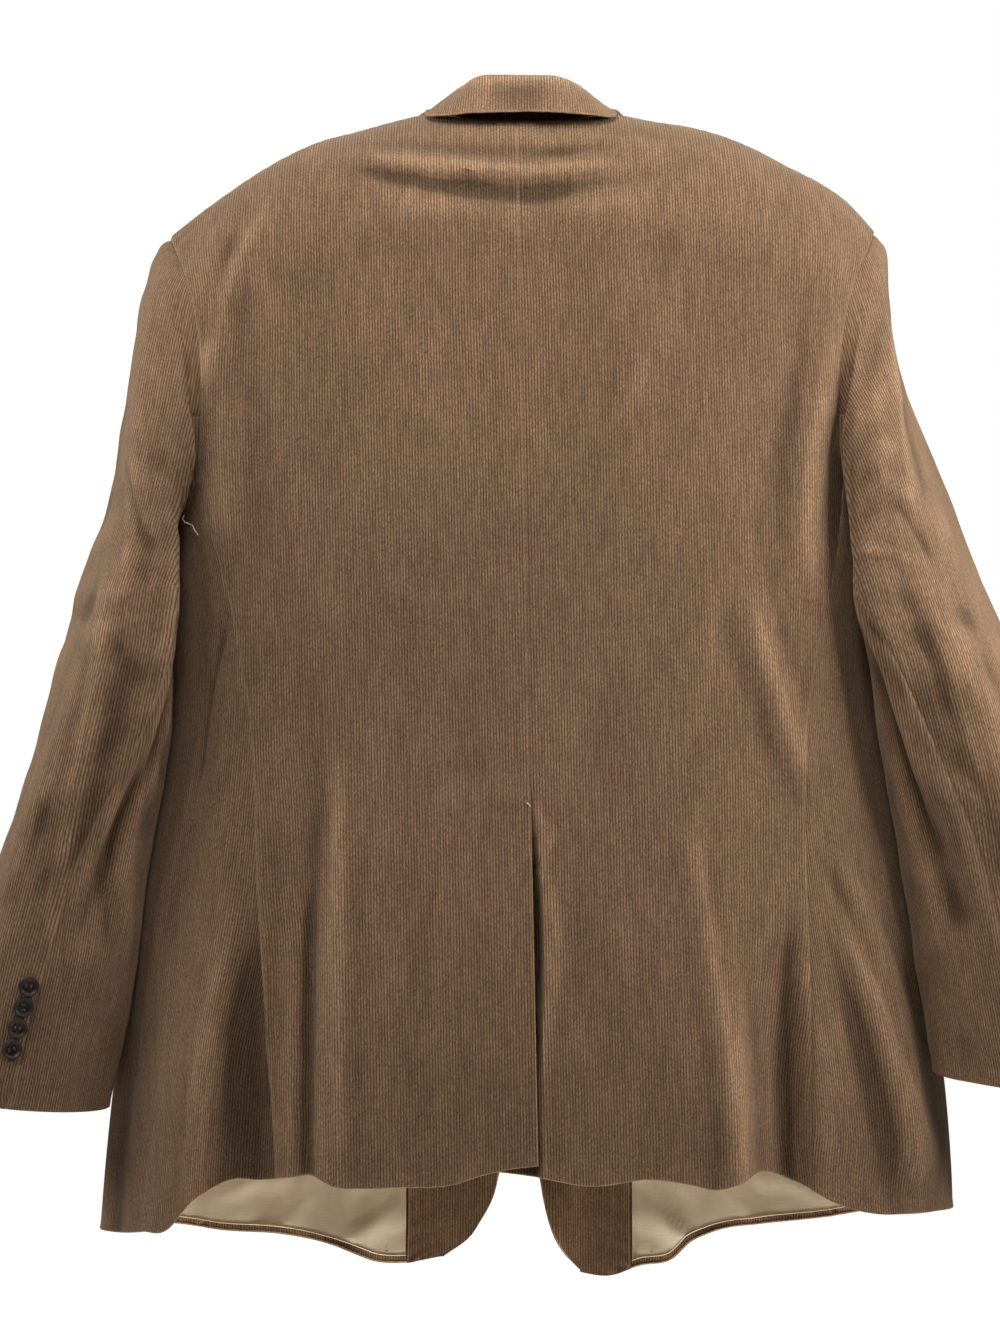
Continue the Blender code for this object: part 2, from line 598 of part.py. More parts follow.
def lining(side):
    """Lining of a front and of the half of the side panel next to it, on their own grid points."""
    front, panel = front_panel(side), side_panel(side)
    side_columns = SIDE_COLUMNS / 2
    rows = ROWS - LINING_TOP_ROW

    def at(u, v):
        last = FRONT_COLUMNS - FACING_COLUMNS - FACING_SETBACK
        column = -side_columns + (last + side_columns) * u
        row = LINING_TOP_ROW + rows * v - LINING_HEM_ROWS * np.clip(rows * (v - 1) + 1, 0, 1)
        on_front = front(np.maximum(column, 0) / FRONT_COLUMNS, row / ROWS)
        on_side = panel(np.minimum(column / SIDE_COLUMNS + 1, 1), (row - ARMHOLE_ROWS) / SKIRT_ROWS)
        return np.where((column >= 0)[..., None], on_front, on_side)
    return at


def lapel(side):
    """Lapel, from the roll line to its free edge and from the gorge to its lower end."""
    column = {name: smooth_curve(LAPEL, "along", name) for name in Lapel._fields}

    def at(u, v):
        roll_drop = column["roll_drop"](v)
        roll = FRONT_EDGE[side](roll_drop) + LAPEL_LIFT[side]
        drop = roll_drop + (column["edge_drop"](v) - roll_drop) * u
        across = roll + (column["edge"](v) - roll) * u
        x, y = front_point(side, across, drop)
        out = LAYER_GAP + LAPEL_WALL + LAPEL_LIFT[side] + LAPEL_ROLL * bump(u / 0.5)
        return place(side, x, y - out, drop)
    return at


def armhole_knots(side):
    """Points of the armhole edge: down the back, along the side panel and up the front."""
    rows = np.arange(ARMHOLE_ROWS) / ROWS
    back = back_panel(side)(np.ones(ARMHOLE_ROWS), rows)
    columns = np.arange(SIDE_COLUMNS + 1) / SIDE_COLUMNS
    low = side_panel(side)(columns, np.zeros(SIDE_COLUMNS + 1))
    front = front_panel(side)(np.zeros(ARMHOLE_ROWS - 1), rows[:0:-1])
    return np.concatenate([back, low, front, back[:1]])


KNOTS = {side: armhole_knots(side) for side in SIDES}


def armhole(side, knot):
    """Point just inside and beyond the armhole edge, by the number of its knot."""
    knots = KNOTS[side]
    last = len(knots) - 1
    edge = np.stack(
        [np.interp(knot % last, np.arange(last + 1), knots[:, axis]) for axis in range(3)], axis=-1)
    middle = knots[:-1].mean(axis=0)
    inward = (middle - edge) * np.array([0.0, 1.0, 1.0])
    return edge + unit(inward) * SLEEVE_INSET + np.array([SIGN[side] * SLEEVE_STANDOFF, 0.0, 0.0])


def sleeve_fold_height(side, ring, turn):
    """How far the folds move a sleeve's cloth out."""
    total = np.zeros(np.broadcast(ring, turn).shape)
    for fold in SLEEVE_FOLDS:
        if fold.side != side:
            continue
        along = (ring - fold.top) / (fold.foot - fold.top)
        line = fold.top_angle + (fold.foot_angle - fold.top_angle) * np.clip(along, 0, 1)
        off = (turn - line + 180) % 360 - 180
        reach = np.where(off < 0, fold.reach_up, fold.reach_down)
        fade = ease(along * SLEEVE_FOLD_END) * ease((1 - along) * SLEEVE_FOLD_END)
        total = total + fold.height * fade * bump(off / reach)
    return total


RingAt = namedtuple("RingAt", ("ring",) + Ring._fields)


def ring_columns(side):
    """Smooth functions of the ring number for each column of a sleeve's table."""
    numbered = [RingAt(index + 1.0, *ring) for index, ring in enumerate(SLEEVE_RINGS[side])]
    first = SLEEVE_RINGS[side][0]
    start = first._replace(
        outer=first.outer - FIRST_RING_REACH, outer_drop=first.outer_drop - FIRST_RING_DROP,
        hind=ARMHOLE_HIND, fore=ARMHOLE_FORE)
    numbered.insert(0, RingAt(0.0, *start))
    return {name: smooth_curve(numbered, "ring", name) for name in Ring._fields}


RINGS = {side: ring_columns(side) for side in SIDES}
LAST_RING = len(SLEEVE_RINGS["left"])


def body_wall(side, y, drop):
    """Distance of the body's side from the middle where it is y back, and the armhole drop there."""
    depth = np.where(y > 0, BACK_DEPTH(drop), FRONT_DEPTH(drop))
    share = np.clip(np.abs(y) / depth, 0, WALL_REACH) ** SECTION_POWER
    wall = HALF[side](drop) * (1 - share) ** (1 / SECTION_POWER)
    angle = np.degrees(np.arccos(np.sqrt(share)))
    angle = np.where(y > 0, angle, 180 - angle)
    start, stop = side_span(side, drop)
    return wall, armhole_floor(np.clip((angle - start) / (stop - start), 0, 1))


def sleeve_point(side, turn, ring, knot):
    """Outside of a sleeve: turn 0 is outermost, 90 the back, 180 innermost."""
    column = {name: curve(ring) for name, curve in RINGS[side].items()}
    out = sleeve_fold_height(side, ring, turn)
    cosine, sine = np.cos(np.radians(turn)), np.sin(np.radians(turn))
    half_span = (column["outer"] - column["inner"]) / 2
    slide = column["skew"] * column["depth"]
    half = np.sqrt(np.maximum(half_span**2 - slide**2, SLEEVE_THINNEST**2))
    x = column["inner"] + half_span + (half + out) * cosine + slide * sine
    y = column["back_shift"] + (column["depth"] + out) * sine
    half_slope = (column["outer_drop"] - column["inner_drop"]) / 2
    droop = CUFF_DROOP * ease(ring - LAST_RING + 1) * sine
    drop = column["inner_drop"] + half_slope + half_slope * cosine + droop
    # the first ring is the armhole seam itself
    seam = armhole(side, knot)
    join = ease(ring)
    x = seam[..., 0] * SIGN[side] + (x - seam[..., 0] * SIGN[side]) * join
    y = seam[..., 1] + (y - seam[..., 1]) * join
    drop = -seam[..., 2] + (drop + seam[..., 2]) * join
    # below the armhole the sleeve lies against the body without touching it
    wall, floor = body_wall(side, y, drop)
    below = ease((drop - floor) / SLEEVE_PUSH_START + 1)
    least = wall + SLEEVE_START + SLEEVE_CLEARANCE * ease((drop - floor) / SLEEVE_PUSH_GROWTH)
    short = least - x
    push = 0.5 * (short + np.hypot(short, SLEEVE_SOFTNESS))
    return place(side, x + push * below, y, drop)


def upper_sleeve(side):
    """Upper sleeve, from the fore seam over the outside to the hind seam."""
    loop = len(KNOTS[side]) - 1

    def at(u, v):
        ring = LAST_RING * v**RING_SPACING
        fore = RINGS[side]["fore"](ring) - 360 + SLEEVE_SEAM_TURN
        hind = RINGS[side]["hind"](ring) - SLEEVE_SEAM_TURN
        first, last = FORE_KNOT - loop + SLEEVE_SEAM_KNOT, HIND_KNOT - SLEEVE_SEAM_KNOT
        knot = first + (last - first) * u
        return sleeve_point(side, fore + (hind - fore) * u, ring, knot)
    return at


def under_sleeve(side):
    """Under sleeve, from the hind seam past the body to the fore seam."""
    def at(u, v):
        ring = LAST_RING * v**RING_SPACING
        fore = RINGS[side]["fore"](ring) - SLEEVE_SEAM_TURN
        hind = RINGS[side]["hind"](ring) + SLEEVE_SEAM_TURN
        first, last = HIND_KNOT + SLEEVE_SEAM_KNOT, FORE_KNOT - SLEEVE_SEAM_KNOT
        knot = first + (last - first) * u
        return sleeve_point(side, hind + (fore - hind) * u, ring, knot)
    return at


def neck_edge(angle):
    """Edge of the neck opening: the back's arc behind, the fronts' roll line before."""
    turn = np.radians(np.minimum(angle, 90))
    back_x, back_y = NECK_HALF * np.sin(turn), NECK_BACK * np.cos(turn)
    back = np.stack([back_x, back_y, -neck_drop(back_x)], axis=-1)
    top = SHOULDER["left"](NECK_HALF)
    along = np.clip((angle - 90) / (COLLAR_END - 90), 0, 1)
    drop = top + (GORGE_DROP - top) * along**GORGE_SPACING
    x, y = front_point("left", FRONT_EDGE["left"](drop), drop)
    front = np.stack([x, y, -drop], axis=-1)
    edge = np.where((angle <= 90)[..., None], back, front)
    inward = np.stack([-np.sin(turn), -np.cos(turn), np.zeros_like(turn)], axis=-1)
    return edge + inward * COLLAR_INSET + np.array([0.0, 0.0, COLLAR_RISE])


def clear_of_body(points, gap):
    """Points moved out, where they are nearer than a gap to the shoulder, chest or back."""
    x, y, z = np.abs(points[..., 0]), points[..., 1], points[..., 2]
    share = np.clip(x / HALF["left"](-z), 0, 1) ** SECTION_POWER
    depth = np.where(y > 0, BACK_DEPTH(-z), FRONT_DEPTH(-z)) * (1 - share) ** (1 / SECTION_POWER)
    height = np.maximum(SHOULDER["right"](x) + SHOULDER_ROUND + z, 0)
    away = np.hypot(y, height)
    ratio = np.hypot(y / depth, height / SHOULDER_ROUND)
    short = np.maximum(gap - away * (1 - 1 / ratio), 0)
    return points + np.stack([np.zeros_like(y), y, height], axis=-1) * (short / away)[..., None]


def collar_surface(u, v):
    """Collar, from the right end to the left end and from its seam over the fold to its edge."""
    angle = (2 * u - 1) * COLLAR_END
    column = {name: smooth_curve(COLLAR, "angle", name)(np.abs(angle)) for name in Collar._fields}
    seam = neck_edge(np.abs(angle))
    fold = np.stack([column["fold_x"], column["fold_y"], column["fold_z"]], axis=-1)
    edge = np.stack([column["edge_x"], column["edge_y"], column["edge_z"]], axis=-1)
    # two straight legs and a round turn over the fold between them
    up = unit(fold - (seam + edge) / 2)
    away = edge - seam
    away = unit(away - up * np.sum(away * up, axis=-1, keepdims=True))
    part = v[..., None]
    rise = 1 - np.abs(part - 0.5) / 0.5
    lean = np.sin(0.5 * np.pi * np.clip((part - 0.5) / COLLAR_TURN_SHARE, -1, 1))
    foot = np.where(part < 0.5, seam, edge)
    base = foot + (fold - foot) * rise
    points = base + (away * lean * rise - up * (1 - np.sqrt(1 - lean**2))) * COLLAR_TURN * 0.5
    points = np.where(part > 0.5, clear_of_body(points, COLLAR_CLEARANCE), points)
    return points * np.stack([np.where(angle < 0, -1.0, 1.0), np.ones_like(u), np.ones_like(u)], -1)


def offset(surface, u, v, distance, outward):
    """Points of a surface, moved out along its normal."""
    points = surface(u, v)
    along = surface(np.clip(u + GRID_STEP, 0, 1), v) - surface(np.clip(u - GRID_STEP, 0, 1), v)
    down = surface(u, np.clip(v + GRID_STEP, 0, 1)) - surface(u, np.clip(v - GRID_STEP, 0, 1))
    return points + unit(np.cross(along, down)) * distance * outward


def behind_shoulder_seam(points):
    points[:, 1] = np.maximum(points[:, 1], 0.5 * SEAM_GAP)
    return points


def before_shoulder_seam(points):
    points[:, 1] = np.minimum(points[:, 1], -0.5 * SEAM_GAP)
    return points


def shell(name, surface, columns, rows, wall, outward, material, lift=0.0, limit=None):
    """A wall of cloth: a grid laid on a surface, extruded to its thickness on the inner side."""
    mesh = bmesh.new()
    bmesh.ops.create_grid(mesh, x_segments=columns, y_segments=rows, size=0.5)
    outer = list(mesh.verts)
    made = bmesh.ops.extrude_face_region(mesh, geom=mesh.faces[:], use_keep_orig=True)
    inner = [item for item in made["geom"] if isinstance(item, bmesh.types.BMVert)]
    for layer, distance in ((outer, lift), (inner, lift - wall)):
        spots = np.array([vert.co[:2] for vert in layer]) + 0.5
        points = offset(surface, spots[:, 0], spots[:, 1], distance, outward)
        if limit:
            points = limit(points)
        for vert, point in zip(layer, points):
            vert.co = point
    bmesh.ops.recalc_face_normals(mesh, faces=mesh.faces)
    return finish(name, mesh, material)


def finish(name, mesh, material):
    """An object with a mesh, shaded smooth over its soft edges."""
    data = bpy.data.meshes.new(name)
    mesh.to_mesh(data)
    mesh.free()
    data.materials.append(material)
    data.shade_smooth()
    data.set_sharp_from_angle(angle=math.radians(SOFT_EDGE))
    return bpy.data.objects.new(name, data)


def button(name, diameter, point, normal, material):
    """A round button that lies on a surface."""
    mesh = bmesh.new()
    bmesh.ops.create_cone(
        mesh, cap_ends=True, segments=BUTTON_SEGMENTS, radius1=diameter / 2,
        radius2=diameter / 2 * BUTTON_TAPER, depth=BUTTON_HEIGHT)
    piece = finish(name, mesh, material)
    normal = Vector(normal)
    piece.location = Vector(point) + normal * (BUTTON_HEIGHT / 2 + LAYER_GAP)
    piece.rotation_euler = normal.to_track_quat("Z", "Y").to_euler()
    return piece


def front_buttons(material):
    for number, drop in enumerate(BUTTON_DROPS, start=1):
        x, y = front_point("left", np.array(0.0), np.array(drop))
        point = (float(x), float(y), -drop)
        yield button(f"front_button_{number}", FRONT_BUTTON, point, (0.0, -1.0, 0.0), material)


def cuff_buttons(side, material):
    def surface(u, v):
        return sleeve_point(side, u, v, np.zeros_like(u))

    for number in range(1, CUFF_BUTTONS + 1):
        ring = np.array([CUFF_BUTTON_RING + CUFF_BUTTON_STEP[side] * (number - 1)])
        turn = RINGS[side]["hind"](ring) - CUFF_BUTTON_TURN
        point = surface(turn, ring)[0]
        along = surface(turn + TURN_STEP, ring) - surface(turn - TURN_STEP, ring)
        down = surface(turn, ring + RING_STEP) - surface(turn, ring - RING_STEP)
        normal = unit(np.cross(along, down))[0] * -SIGN[side]
        name = f"cuff_button_{side}_{number}"
        yield button(name, CUFF_BUTTON, point, normal, material)


def make_materials():
    made = {}
    for name, (colour, roughness) in COLOURS.items():
        material = bpy.data.materials.new(name)
        material.use_nodes = True
        shader = material.node_tree.nodes["Principled BSDF"]
        shader.inputs["Base Color"].default_value = colour
        shader.inputs["Roughness"].default_value = roughness
        shader.inputs["Metallic"].default_value = 0.0
        made[name] = material
    return made


def body_pieces(side, materials):
    """The panels of one side, with their facing, lining and lapel."""
    cord, out, under = materials["corduroy"], SIGN[side], -(SHELL + LAYER_GAP)
    yield shell("back_" + side, back_panel(side), BACK_COLUMNS, ROWS, SHELL, out, cord,
                limit=behind_shoulder_seam)
    yield shell("side_" + side, side_panel(side), SIDE_COLUMNS, SKIRT_ROWS, SHELL, out, cord)
    yield shell("front_" + side, front_panel(side), FRONT_COLUMNS, ROWS, SHELL, out, cord,
                limit=before_shoulder_seam)
    yield shell("facing_" + side, facing(side), FACING_COLUMNS, ROWS, FACING_WALL, out, cord,
                lift=under, limit=before_shoulder_seam)
    columns = SIDE_COLUMNS // 2 + FRONT_COLUMNS - FACING_COLUMNS
    yield shell("lining_" + side, lining(side), columns, ROWS - LINING_TOP_ROW, LINING_WALL, out,
                materials["lining"], lift=under)
    yield shell("lapel_" + side, lapel(side), LAPEL_COLUMNS, LAPEL_ROWS, LAPEL_WALL, -out, cord)


def sleeve_pieces(side, materials):
    """The two parts of a sleeve and its cuff buttons."""
    cord, out = materials["corduroy"], -SIGN[side]
    under = FORE_KNOT - HIND_KNOT
    upper = len(KNOTS[side]) - 1 - under
    yield shell("upper_sleeve_" + side, upper_sleeve(side), upper, SLEEVE_ROWS, SHELL, out, cord)
    yield shell("under_sleeve_" + side, under_sleeve(side), under, SLEEVE_ROWS, SHELL, out, cord)
    yield from cuff_buttons(side, materials["button"])


def main():
    for leftover in list(bpy.data.objects):
        bpy.data.objects.remove(leftover, do_unlink=True)
    collection = bpy.data.collections.new(NAME)
    bpy.context.scene.collection.children.link(collection)
    materials = make_materials()
    pieces = []
    for side in SIDES:
        pieces.extend(body_pieces(side, materials))
        pieces.extend(sleeve_pieces(side, materials))
    pieces.append(shell("collar", collar_surface, COLLAR_COLUMNS, COLLAR_ROWS, LAPEL_WALL, 1.0,
                        materials["corduroy"]))
    pieces.extend(front_buttons(materials["button"]))
    for piece in pieces:
        collection.objects.link(piece)


main()
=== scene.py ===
"""Corduroy jacket: builds the cloth, seams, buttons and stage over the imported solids.

Metres, +Z up. The jacket faces -Y, and its wearer's left is +X. The form of each piece is written
as a function of two numbers from 0 to 1, the same as in the solids, and is laid here on a finer
grid with its creases, seams and edges. Heights are written as drops, the distance below the neck.
"""

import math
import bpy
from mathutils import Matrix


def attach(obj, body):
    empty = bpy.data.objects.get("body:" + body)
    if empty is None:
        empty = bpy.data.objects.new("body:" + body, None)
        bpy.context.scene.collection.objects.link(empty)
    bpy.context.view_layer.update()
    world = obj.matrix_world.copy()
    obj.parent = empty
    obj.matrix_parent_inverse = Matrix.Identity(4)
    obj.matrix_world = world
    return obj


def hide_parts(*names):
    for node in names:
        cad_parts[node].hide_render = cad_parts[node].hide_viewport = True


bl_info = {
    "name": "Corduroy Jacket",
    "version": (1, 0, 0),
    "blender": (4, 5, 0),
    "location": "3D View > Sidebar > Jacket",
    "description": "Builds a hanging single-breasted corduroy jacket over its solids",
    "category": "Add Mesh",
}

from collections import namedtuple

import bmesh
import bpy
import numpy as np
from bpy.props import FloatProperty, FloatVectorProperty, PointerProperty
from mathutils import Matrix, Vector

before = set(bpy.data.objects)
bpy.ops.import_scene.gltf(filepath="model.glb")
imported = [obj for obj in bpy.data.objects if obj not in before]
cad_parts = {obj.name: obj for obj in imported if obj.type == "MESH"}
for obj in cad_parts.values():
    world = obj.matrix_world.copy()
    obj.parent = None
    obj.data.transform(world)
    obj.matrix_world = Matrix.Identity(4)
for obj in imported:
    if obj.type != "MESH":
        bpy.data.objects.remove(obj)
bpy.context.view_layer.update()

# Cloth
SHELL = 0.0020            # corduroy with its interlining
LAPEL_WALL = 0.0024       # lapel and collar are two layers of corduroy
FACING_WALL = 0.0014
LINING_WALL = 0.0010
SEAM_GAP = -0.0008        # the cloth of two pieces that are sewn together meets
LAYER_GAP = 0.0004        # between two layers that lie on each other

# Rows and columns that the forms are laid out by. The panels share their rows, so their seams meet:
# close rows over the shoulder, one through the corner of the armhole, and close rows at the hem
ARMHOLE_ROWS = 8
SKIRT_ROWS = 16
ROWS = ARMHOLE_ROWS + SKIRT_ROWS
CORNER_ROW = ARMHOLE_ROWS / ROWS
SHOULDER_SPACING = 1.8
HEM_SPACING = 1.25
NECK_COLUMNS = 4          # of the back, across the neck
BACK_COLUMNS = 12
SIDE_COLUMNS = 6
FACING_COLUMNS = 3        # of the front, between its edge and the edge of the facing
FRONT_COLUMNS = 11
HIND_KNOT = 7             # points of the armhole, counted from its top, where the sleeve seams end
FORE_KNOT = 15
SOFT_EDGE = 50            # degrees up to which an edge is shaded smooth

# Body
SECTION_POWER = 2.4       # 2 is an ellipse, more is squarer
SHOULDER_ROUND = 0.100    # drop over which the shoulder rounds over to the back and front
NECK_HALF = 0.077         # neck point, from the middle
NECK_BACK = 0.071         # how far the neck seam lies behind the shoulder line
SHOULDER_HALF = 0.2652    # shoulder point, from the middle
ARMHOLE_CORNER = 0.2750   # drop at which the back and front meet the side panel
ARMHOLE_BOTTOM = 0.3265
BACK_HEM = 0.790          # drop at which the back side seam is met by the hem, roughly
FRONT_HEM = 0.830         # the same for the front side seam
CENTRE_START = 0.004      # the centre seam leans a little to the wearer's right
CENTRE_LEAN = -0.0195
VENT_TOP = 0.517
VENT_UNDERLAP = 0.035
VENT_STEP = 0.0050        # how far the right flap lies under the left one
VENT_GAPE = 0.0015        # how far each flap stands off half way down
VENT_GAPE_DROP = 0.66
VENT_GAPE_LENGTH = 0.13   # above and below that drop
VENT_GAPE_WIDTH = 0.055
FLAP_START = 0.0165       # below the top of the vent, where the right flap starts to reach under
FLAP_GROWTH = 0.030       # drop over which it grows to its full width
FLAP_POWER = 6            # how much of the reach is taken up by the columns next to the edge
STEP_START = -0.017       # the same for the step that brings the right flap under the left one
STEP_GROWTH = 0.032
STEP_REACH = 0.0030       # the step ends this far beyond the centre seam
STEP_WIDTH = 0.0045
VENT_OPENING = 0.0056     # the gap beside the left flap where the vent opens most
VENT_OPENING_DROP = 0.615
VENT_OPENING_LENGTH = 0.115
VENT_HOLLOW = 0.014       # how much deeper the right flap lies there

# Fronts
FRONT_STEP = 0.0062       # how far the right front lies under the left one
LAP_REACH = 0.045         # the step ends this far from the middle
LAP_WIDTH = 0.022
LAP_START = 0.325         # the same for the drop where the step starts
LAP_GROWTH = 0.090
FACING_WIDTH = 0.0715
FACING_FOOT = 0.800       # below this the facing stays straight while the front is cut away
FACING_SETBACK = 0.04     # share of a column by which facing and lining end short of their edge
LINING_TOP_ROW = 10
LINING_HEM_ROWS = 0.4     # the lining ends short of the hem by this part of a row
LAPEL_LIFT = {"left": 0.0004, "right": 0.0008}   # between the lapel and the front
LAPEL_ROLL = 0.0030       # how far the lapel bows out along its roll line

# Buttons
BUTTON_SEGMENTS = 16
FRONT_BUTTON = 0.0200     # diameters
CUFF_BUTTON = 0.0150
BUTTON_HEIGHT = 0.0030
BUTTON_DROPS = (0.478, 0.588)
CUFF_BUTTONS = 4
CUFF_BUTTON_RING = 9.14   # ring of the sleeve that the top cuff button lies at
CUFF_BUTTON_STEP = {"left": 0.146, "right": 0.195}   # rings between two cuff buttons
CUFF_BUTTON_TURN = 6.5    # degrees from the hind seam
TURN_STEP = 0.5           # steps that the slope of a sleeve is measured over
RING_STEP = 0.05

Level = namedtuple("Level", "drop left_half right_half back front")
LEVELS = (
    Level(-0.03, 0.300, 0.300, 0.104, 0.090),
    Level(0.09, 0.300, 0.300, 0.114, 0.106),
    Level(0.20, 0.284, 0.284, 0.120, 0.114),
    Level(0.28, 0.267, 0.267, 0.119, 0.115),
    Level(0.35, 0.263, 0.263, 0.113, 0.113),
    Level(0.45, 0.265, 0.270, 0.105, 0.108),
    Level(0.55, 0.279, 0.289, 0.103, 0.106),
    Level(0.65, 0.293, 0.303, 0.108, 0.106),
    Level(0.73, 0.304, 0.314, 0.114, 0.106),
    Level(0.83, 0.311, 0.321, 0.119, 0.104),
    Level(0.90, 0.313, 0.324, 0.122, 0.103),
)

Shoulder = namedtuple("Shoulder", "across left right")
SHOULDER_LINE = (
    Shoulder(0.0000, -0.0125, -0.0125),
    Shoulder(0.0770, -0.0035, -0.0035),
    Shoulder(0.1000, 0.0022, 0.0010),
    Shoulder(0.1250, 0.0092, 0.0047),
    Shoulder(0.1500, 0.0156, 0.0113),
    Shoulder(0.1750, 0.0266, 0.0214),
    Shoulder(0.2000, 0.0410, 0.0345),
    Shoulder(0.2250, 0.0580, 0.0470),
    Shoulder(0.2450, 0.0725, 0.0608),
    Shoulder(0.2652, 0.0885, 0.0825),
)

# Distance from the middle of the armhole edge of the back and of the front
Armhole = namedtuple("Armhole", "drop back front")
ARMHOLE = (
    Armhole(-0.020, 0.2652, 0.2652),
    Armhole(0.085, 0.2652, 0.2652),
    Armhole(0.105, 0.2570, 0.2555),
    Armhole(0.128, 0.2470, 0.2410),
    Armhole(0.160, 0.2365, 0.2270),
    Armhole(0.200, 0.2315, 0.2200),
    Armhole(0.240, 0.2320, 0.2200),
    Armhole(0.275, 0.2370, 0.2250),
)

# The same for the seams of the side panel, from the armhole to the hem
SideSeam = namedtuple("SideSeam", "drop back_left back_right front")
SIDE_SEAMS = (
    SideSeam(0.275, 0.2370, 0.2370, 0.2250),
    SideSeam(0.331, 0.2210, 0.2310, 0.2235),
    SideSeam(0.387, 0.2080, 0.2190, 0.2200),
    SideSeam(0.462, 0.1968, 0.2070, 0.2160),
    SideSeam(0.510, 0.1938, 0.2050, 0.2170),
    SideSeam(0.573, 0.1920, 0.2060, 0.2220),
    SideSeam(0.668, 0.1865, 0.2080, 0.2300),
    SideSeam(0.788, 0.1777, 0.2074, 0.2360),
    SideSeam(0.880, 0.1740, 0.2070, 0.2380),
)

# Front edge, from the middle towards the front's own side: roll line, overlap, then cut away
Front = namedtuple("Front", "drop left right")
FRONT_EDGES = (
    Front(-0.0035, 0.0770, 0.0770),
    Front(0.050, 0.0700, 0.0700),
    Front(0.100, 0.0620, 0.0620),
    Front(0.200, 0.0440, 0.0440),
    Front(0.300, 0.0250, 0.0250),
    Front(0.400, 0.0020, 0.0020),
    Front(0.455, -0.0185, -0.0185),
    Front(0.500, -0.0200, -0.0200),
    Front(0.600, -0.0185, -0.0190),
    Front(0.700, -0.0030, -0.0080),
    Front(0.800, 0.0165, 0.0144),
    Front(0.818, 0.0212, 0.0175),
    Front(0.835, 0.0304, 0.0215),
    Front(0.850, 0.0413, 0.0270),
    Front(0.861, 0.0575, 0.0340),
    Front(0.873, 0.0800, 0.0460),
)
FRONT_CORNER = {"left": 0.861, "right": 0.872}   # drop at which the cut-away meets the hem

# Drop of the hem by the angle round the body: 0 is centre back, 90 the side, 180 centre front
Hem = namedtuple("Hem", "angle left right")
HEM = (
    Hem(-12.0, 0.7720, 0.7730),
    Hem(0.0, 0.7735, 0.7745),
    Hem(3.0, 0.7785, 0.7800),
    Hem(6.0, 0.7850, 0.7860),
    Hem(13.0, 0.7875, 0.7820),
    Hem(17.5, 0.7880, 0.7850),
    Hem(21.0, 0.7870, 0.7890),
    Hem(24.5, 0.7795, 0.7850),
    Hem(28.0, 0.7815, 0.7785),
    Hem(34.5, 0.7850, 0.7860),
    Hem(39.5, 0.7850, 0.7980),
    Hem(44.0, 0.7960, 0.8050),
    Hem(49.5, 0.8180, 0.8095),
    Hem(58.0, 0.8230, 0.8110),
    Hem(72.0, 0.8275, 0.8110),
    Hem(90.0, 0.8290, 0.8130),
    Hem(127.0, 0.8345, 0.8235),
    Hem(136.0, 0.8400, 0.8300),
    Hem(149.0, 0.8450, 0.8365),
    Hem(157.0, 0.8535, 0.8430),
    Hem(160.0, 0.8600, 0.8510),
    Hem(162.5, 0.8655, 0.8640),
    Hem(167.0, 0.8675, 0.8695),
    Hem(171.0, 0.8640, 0.8770),
    Hem(176.0, 0.8560, 0.8730),
    Hem(184.0, 0.8560, 0.8730),
)

# Folds that run down the body: where each starts and ends, how far it reaches towards the centre
# back and towards the front (degrees), and how far it stands out
Fold = namedtuple("Fold", "side top top_drop foot foot_drop to_back to_front height")
FOLDS = (
    Fold("left", 44.5, 0.560, 46.5, 0.830, 6.0, 20.0, 0.0150),
    Fold("left", 41.0, 0.540, 34.0, 0.830, 9.0, 9.0, -0.0140),
    Fold("left", 25.5, 0.400, 22.0, 0.830, 15.0, 4.5, 0.0090),
    Fold("left", 48.0, 0.070, 52.0, 0.300, 13.0, 12.0, 0.0050),
    Fold("left", 72.0, 0.600, 74.0, 0.830, 12.0, 14.0, -0.0060),
    Fold("left", 128.0, 0.640, 130.0, 0.850, 12.0, 12.0, 0.0080),
    Fold("left", 152.0, 0.700, 158.0, 0.870, 7.0, 7.0, -0.0090),
    Fold("right", 24.5, 0.560, 24.5, 0.830, 14.0, 4.5, 0.0100),
    Fold("right", 34.0, 0.580, 31.5, 0.830, 8.0, 8.0, -0.0150),
    Fold("right", 48.0, 0.560, 60.0, 0.760, 7.0, 14.0, 0.0090),
    Fold("right", 33.0, 0.330, 43.0, 0.480, 6.0, 6.0, 0.0045),
    Fold("right", 47.0, 0.090, 49.0, 0.330, 8.0, 8.0, 0.0050),
    Fold("right", 130.0, 0.640, 134.0, 0.850, 12.0, 12.0, 0.0080),
    Fold("right", 152.0, 0.700, 158.0, 0.870, 7.0, 7.0, -0.0080),
)

HEM_FOLD_DROP = 0.77      # a fold that ends above this drop fades out, one below runs off the hem
FOLD_START = 1.6          # a fold is full at this part of its length, taken from 1
FOLD_END = 4.0
FOLD_SHOULDER = 0.33      # part of the shoulder's roundness over which the folds grow

# Folds that run across the back under the collar
Band = namedtuple("Band", "drop rise reach width height")
NECK_BANDS = (
    Band(0.0600, -0.15, 0.150, 0.0105, 0.0036),
    Band(0.0790, -0.19, 0.135, 0.0150, -0.0030),
    Band(0.0400, -0.06, 0.100, 0.0100, -0.0014),
)

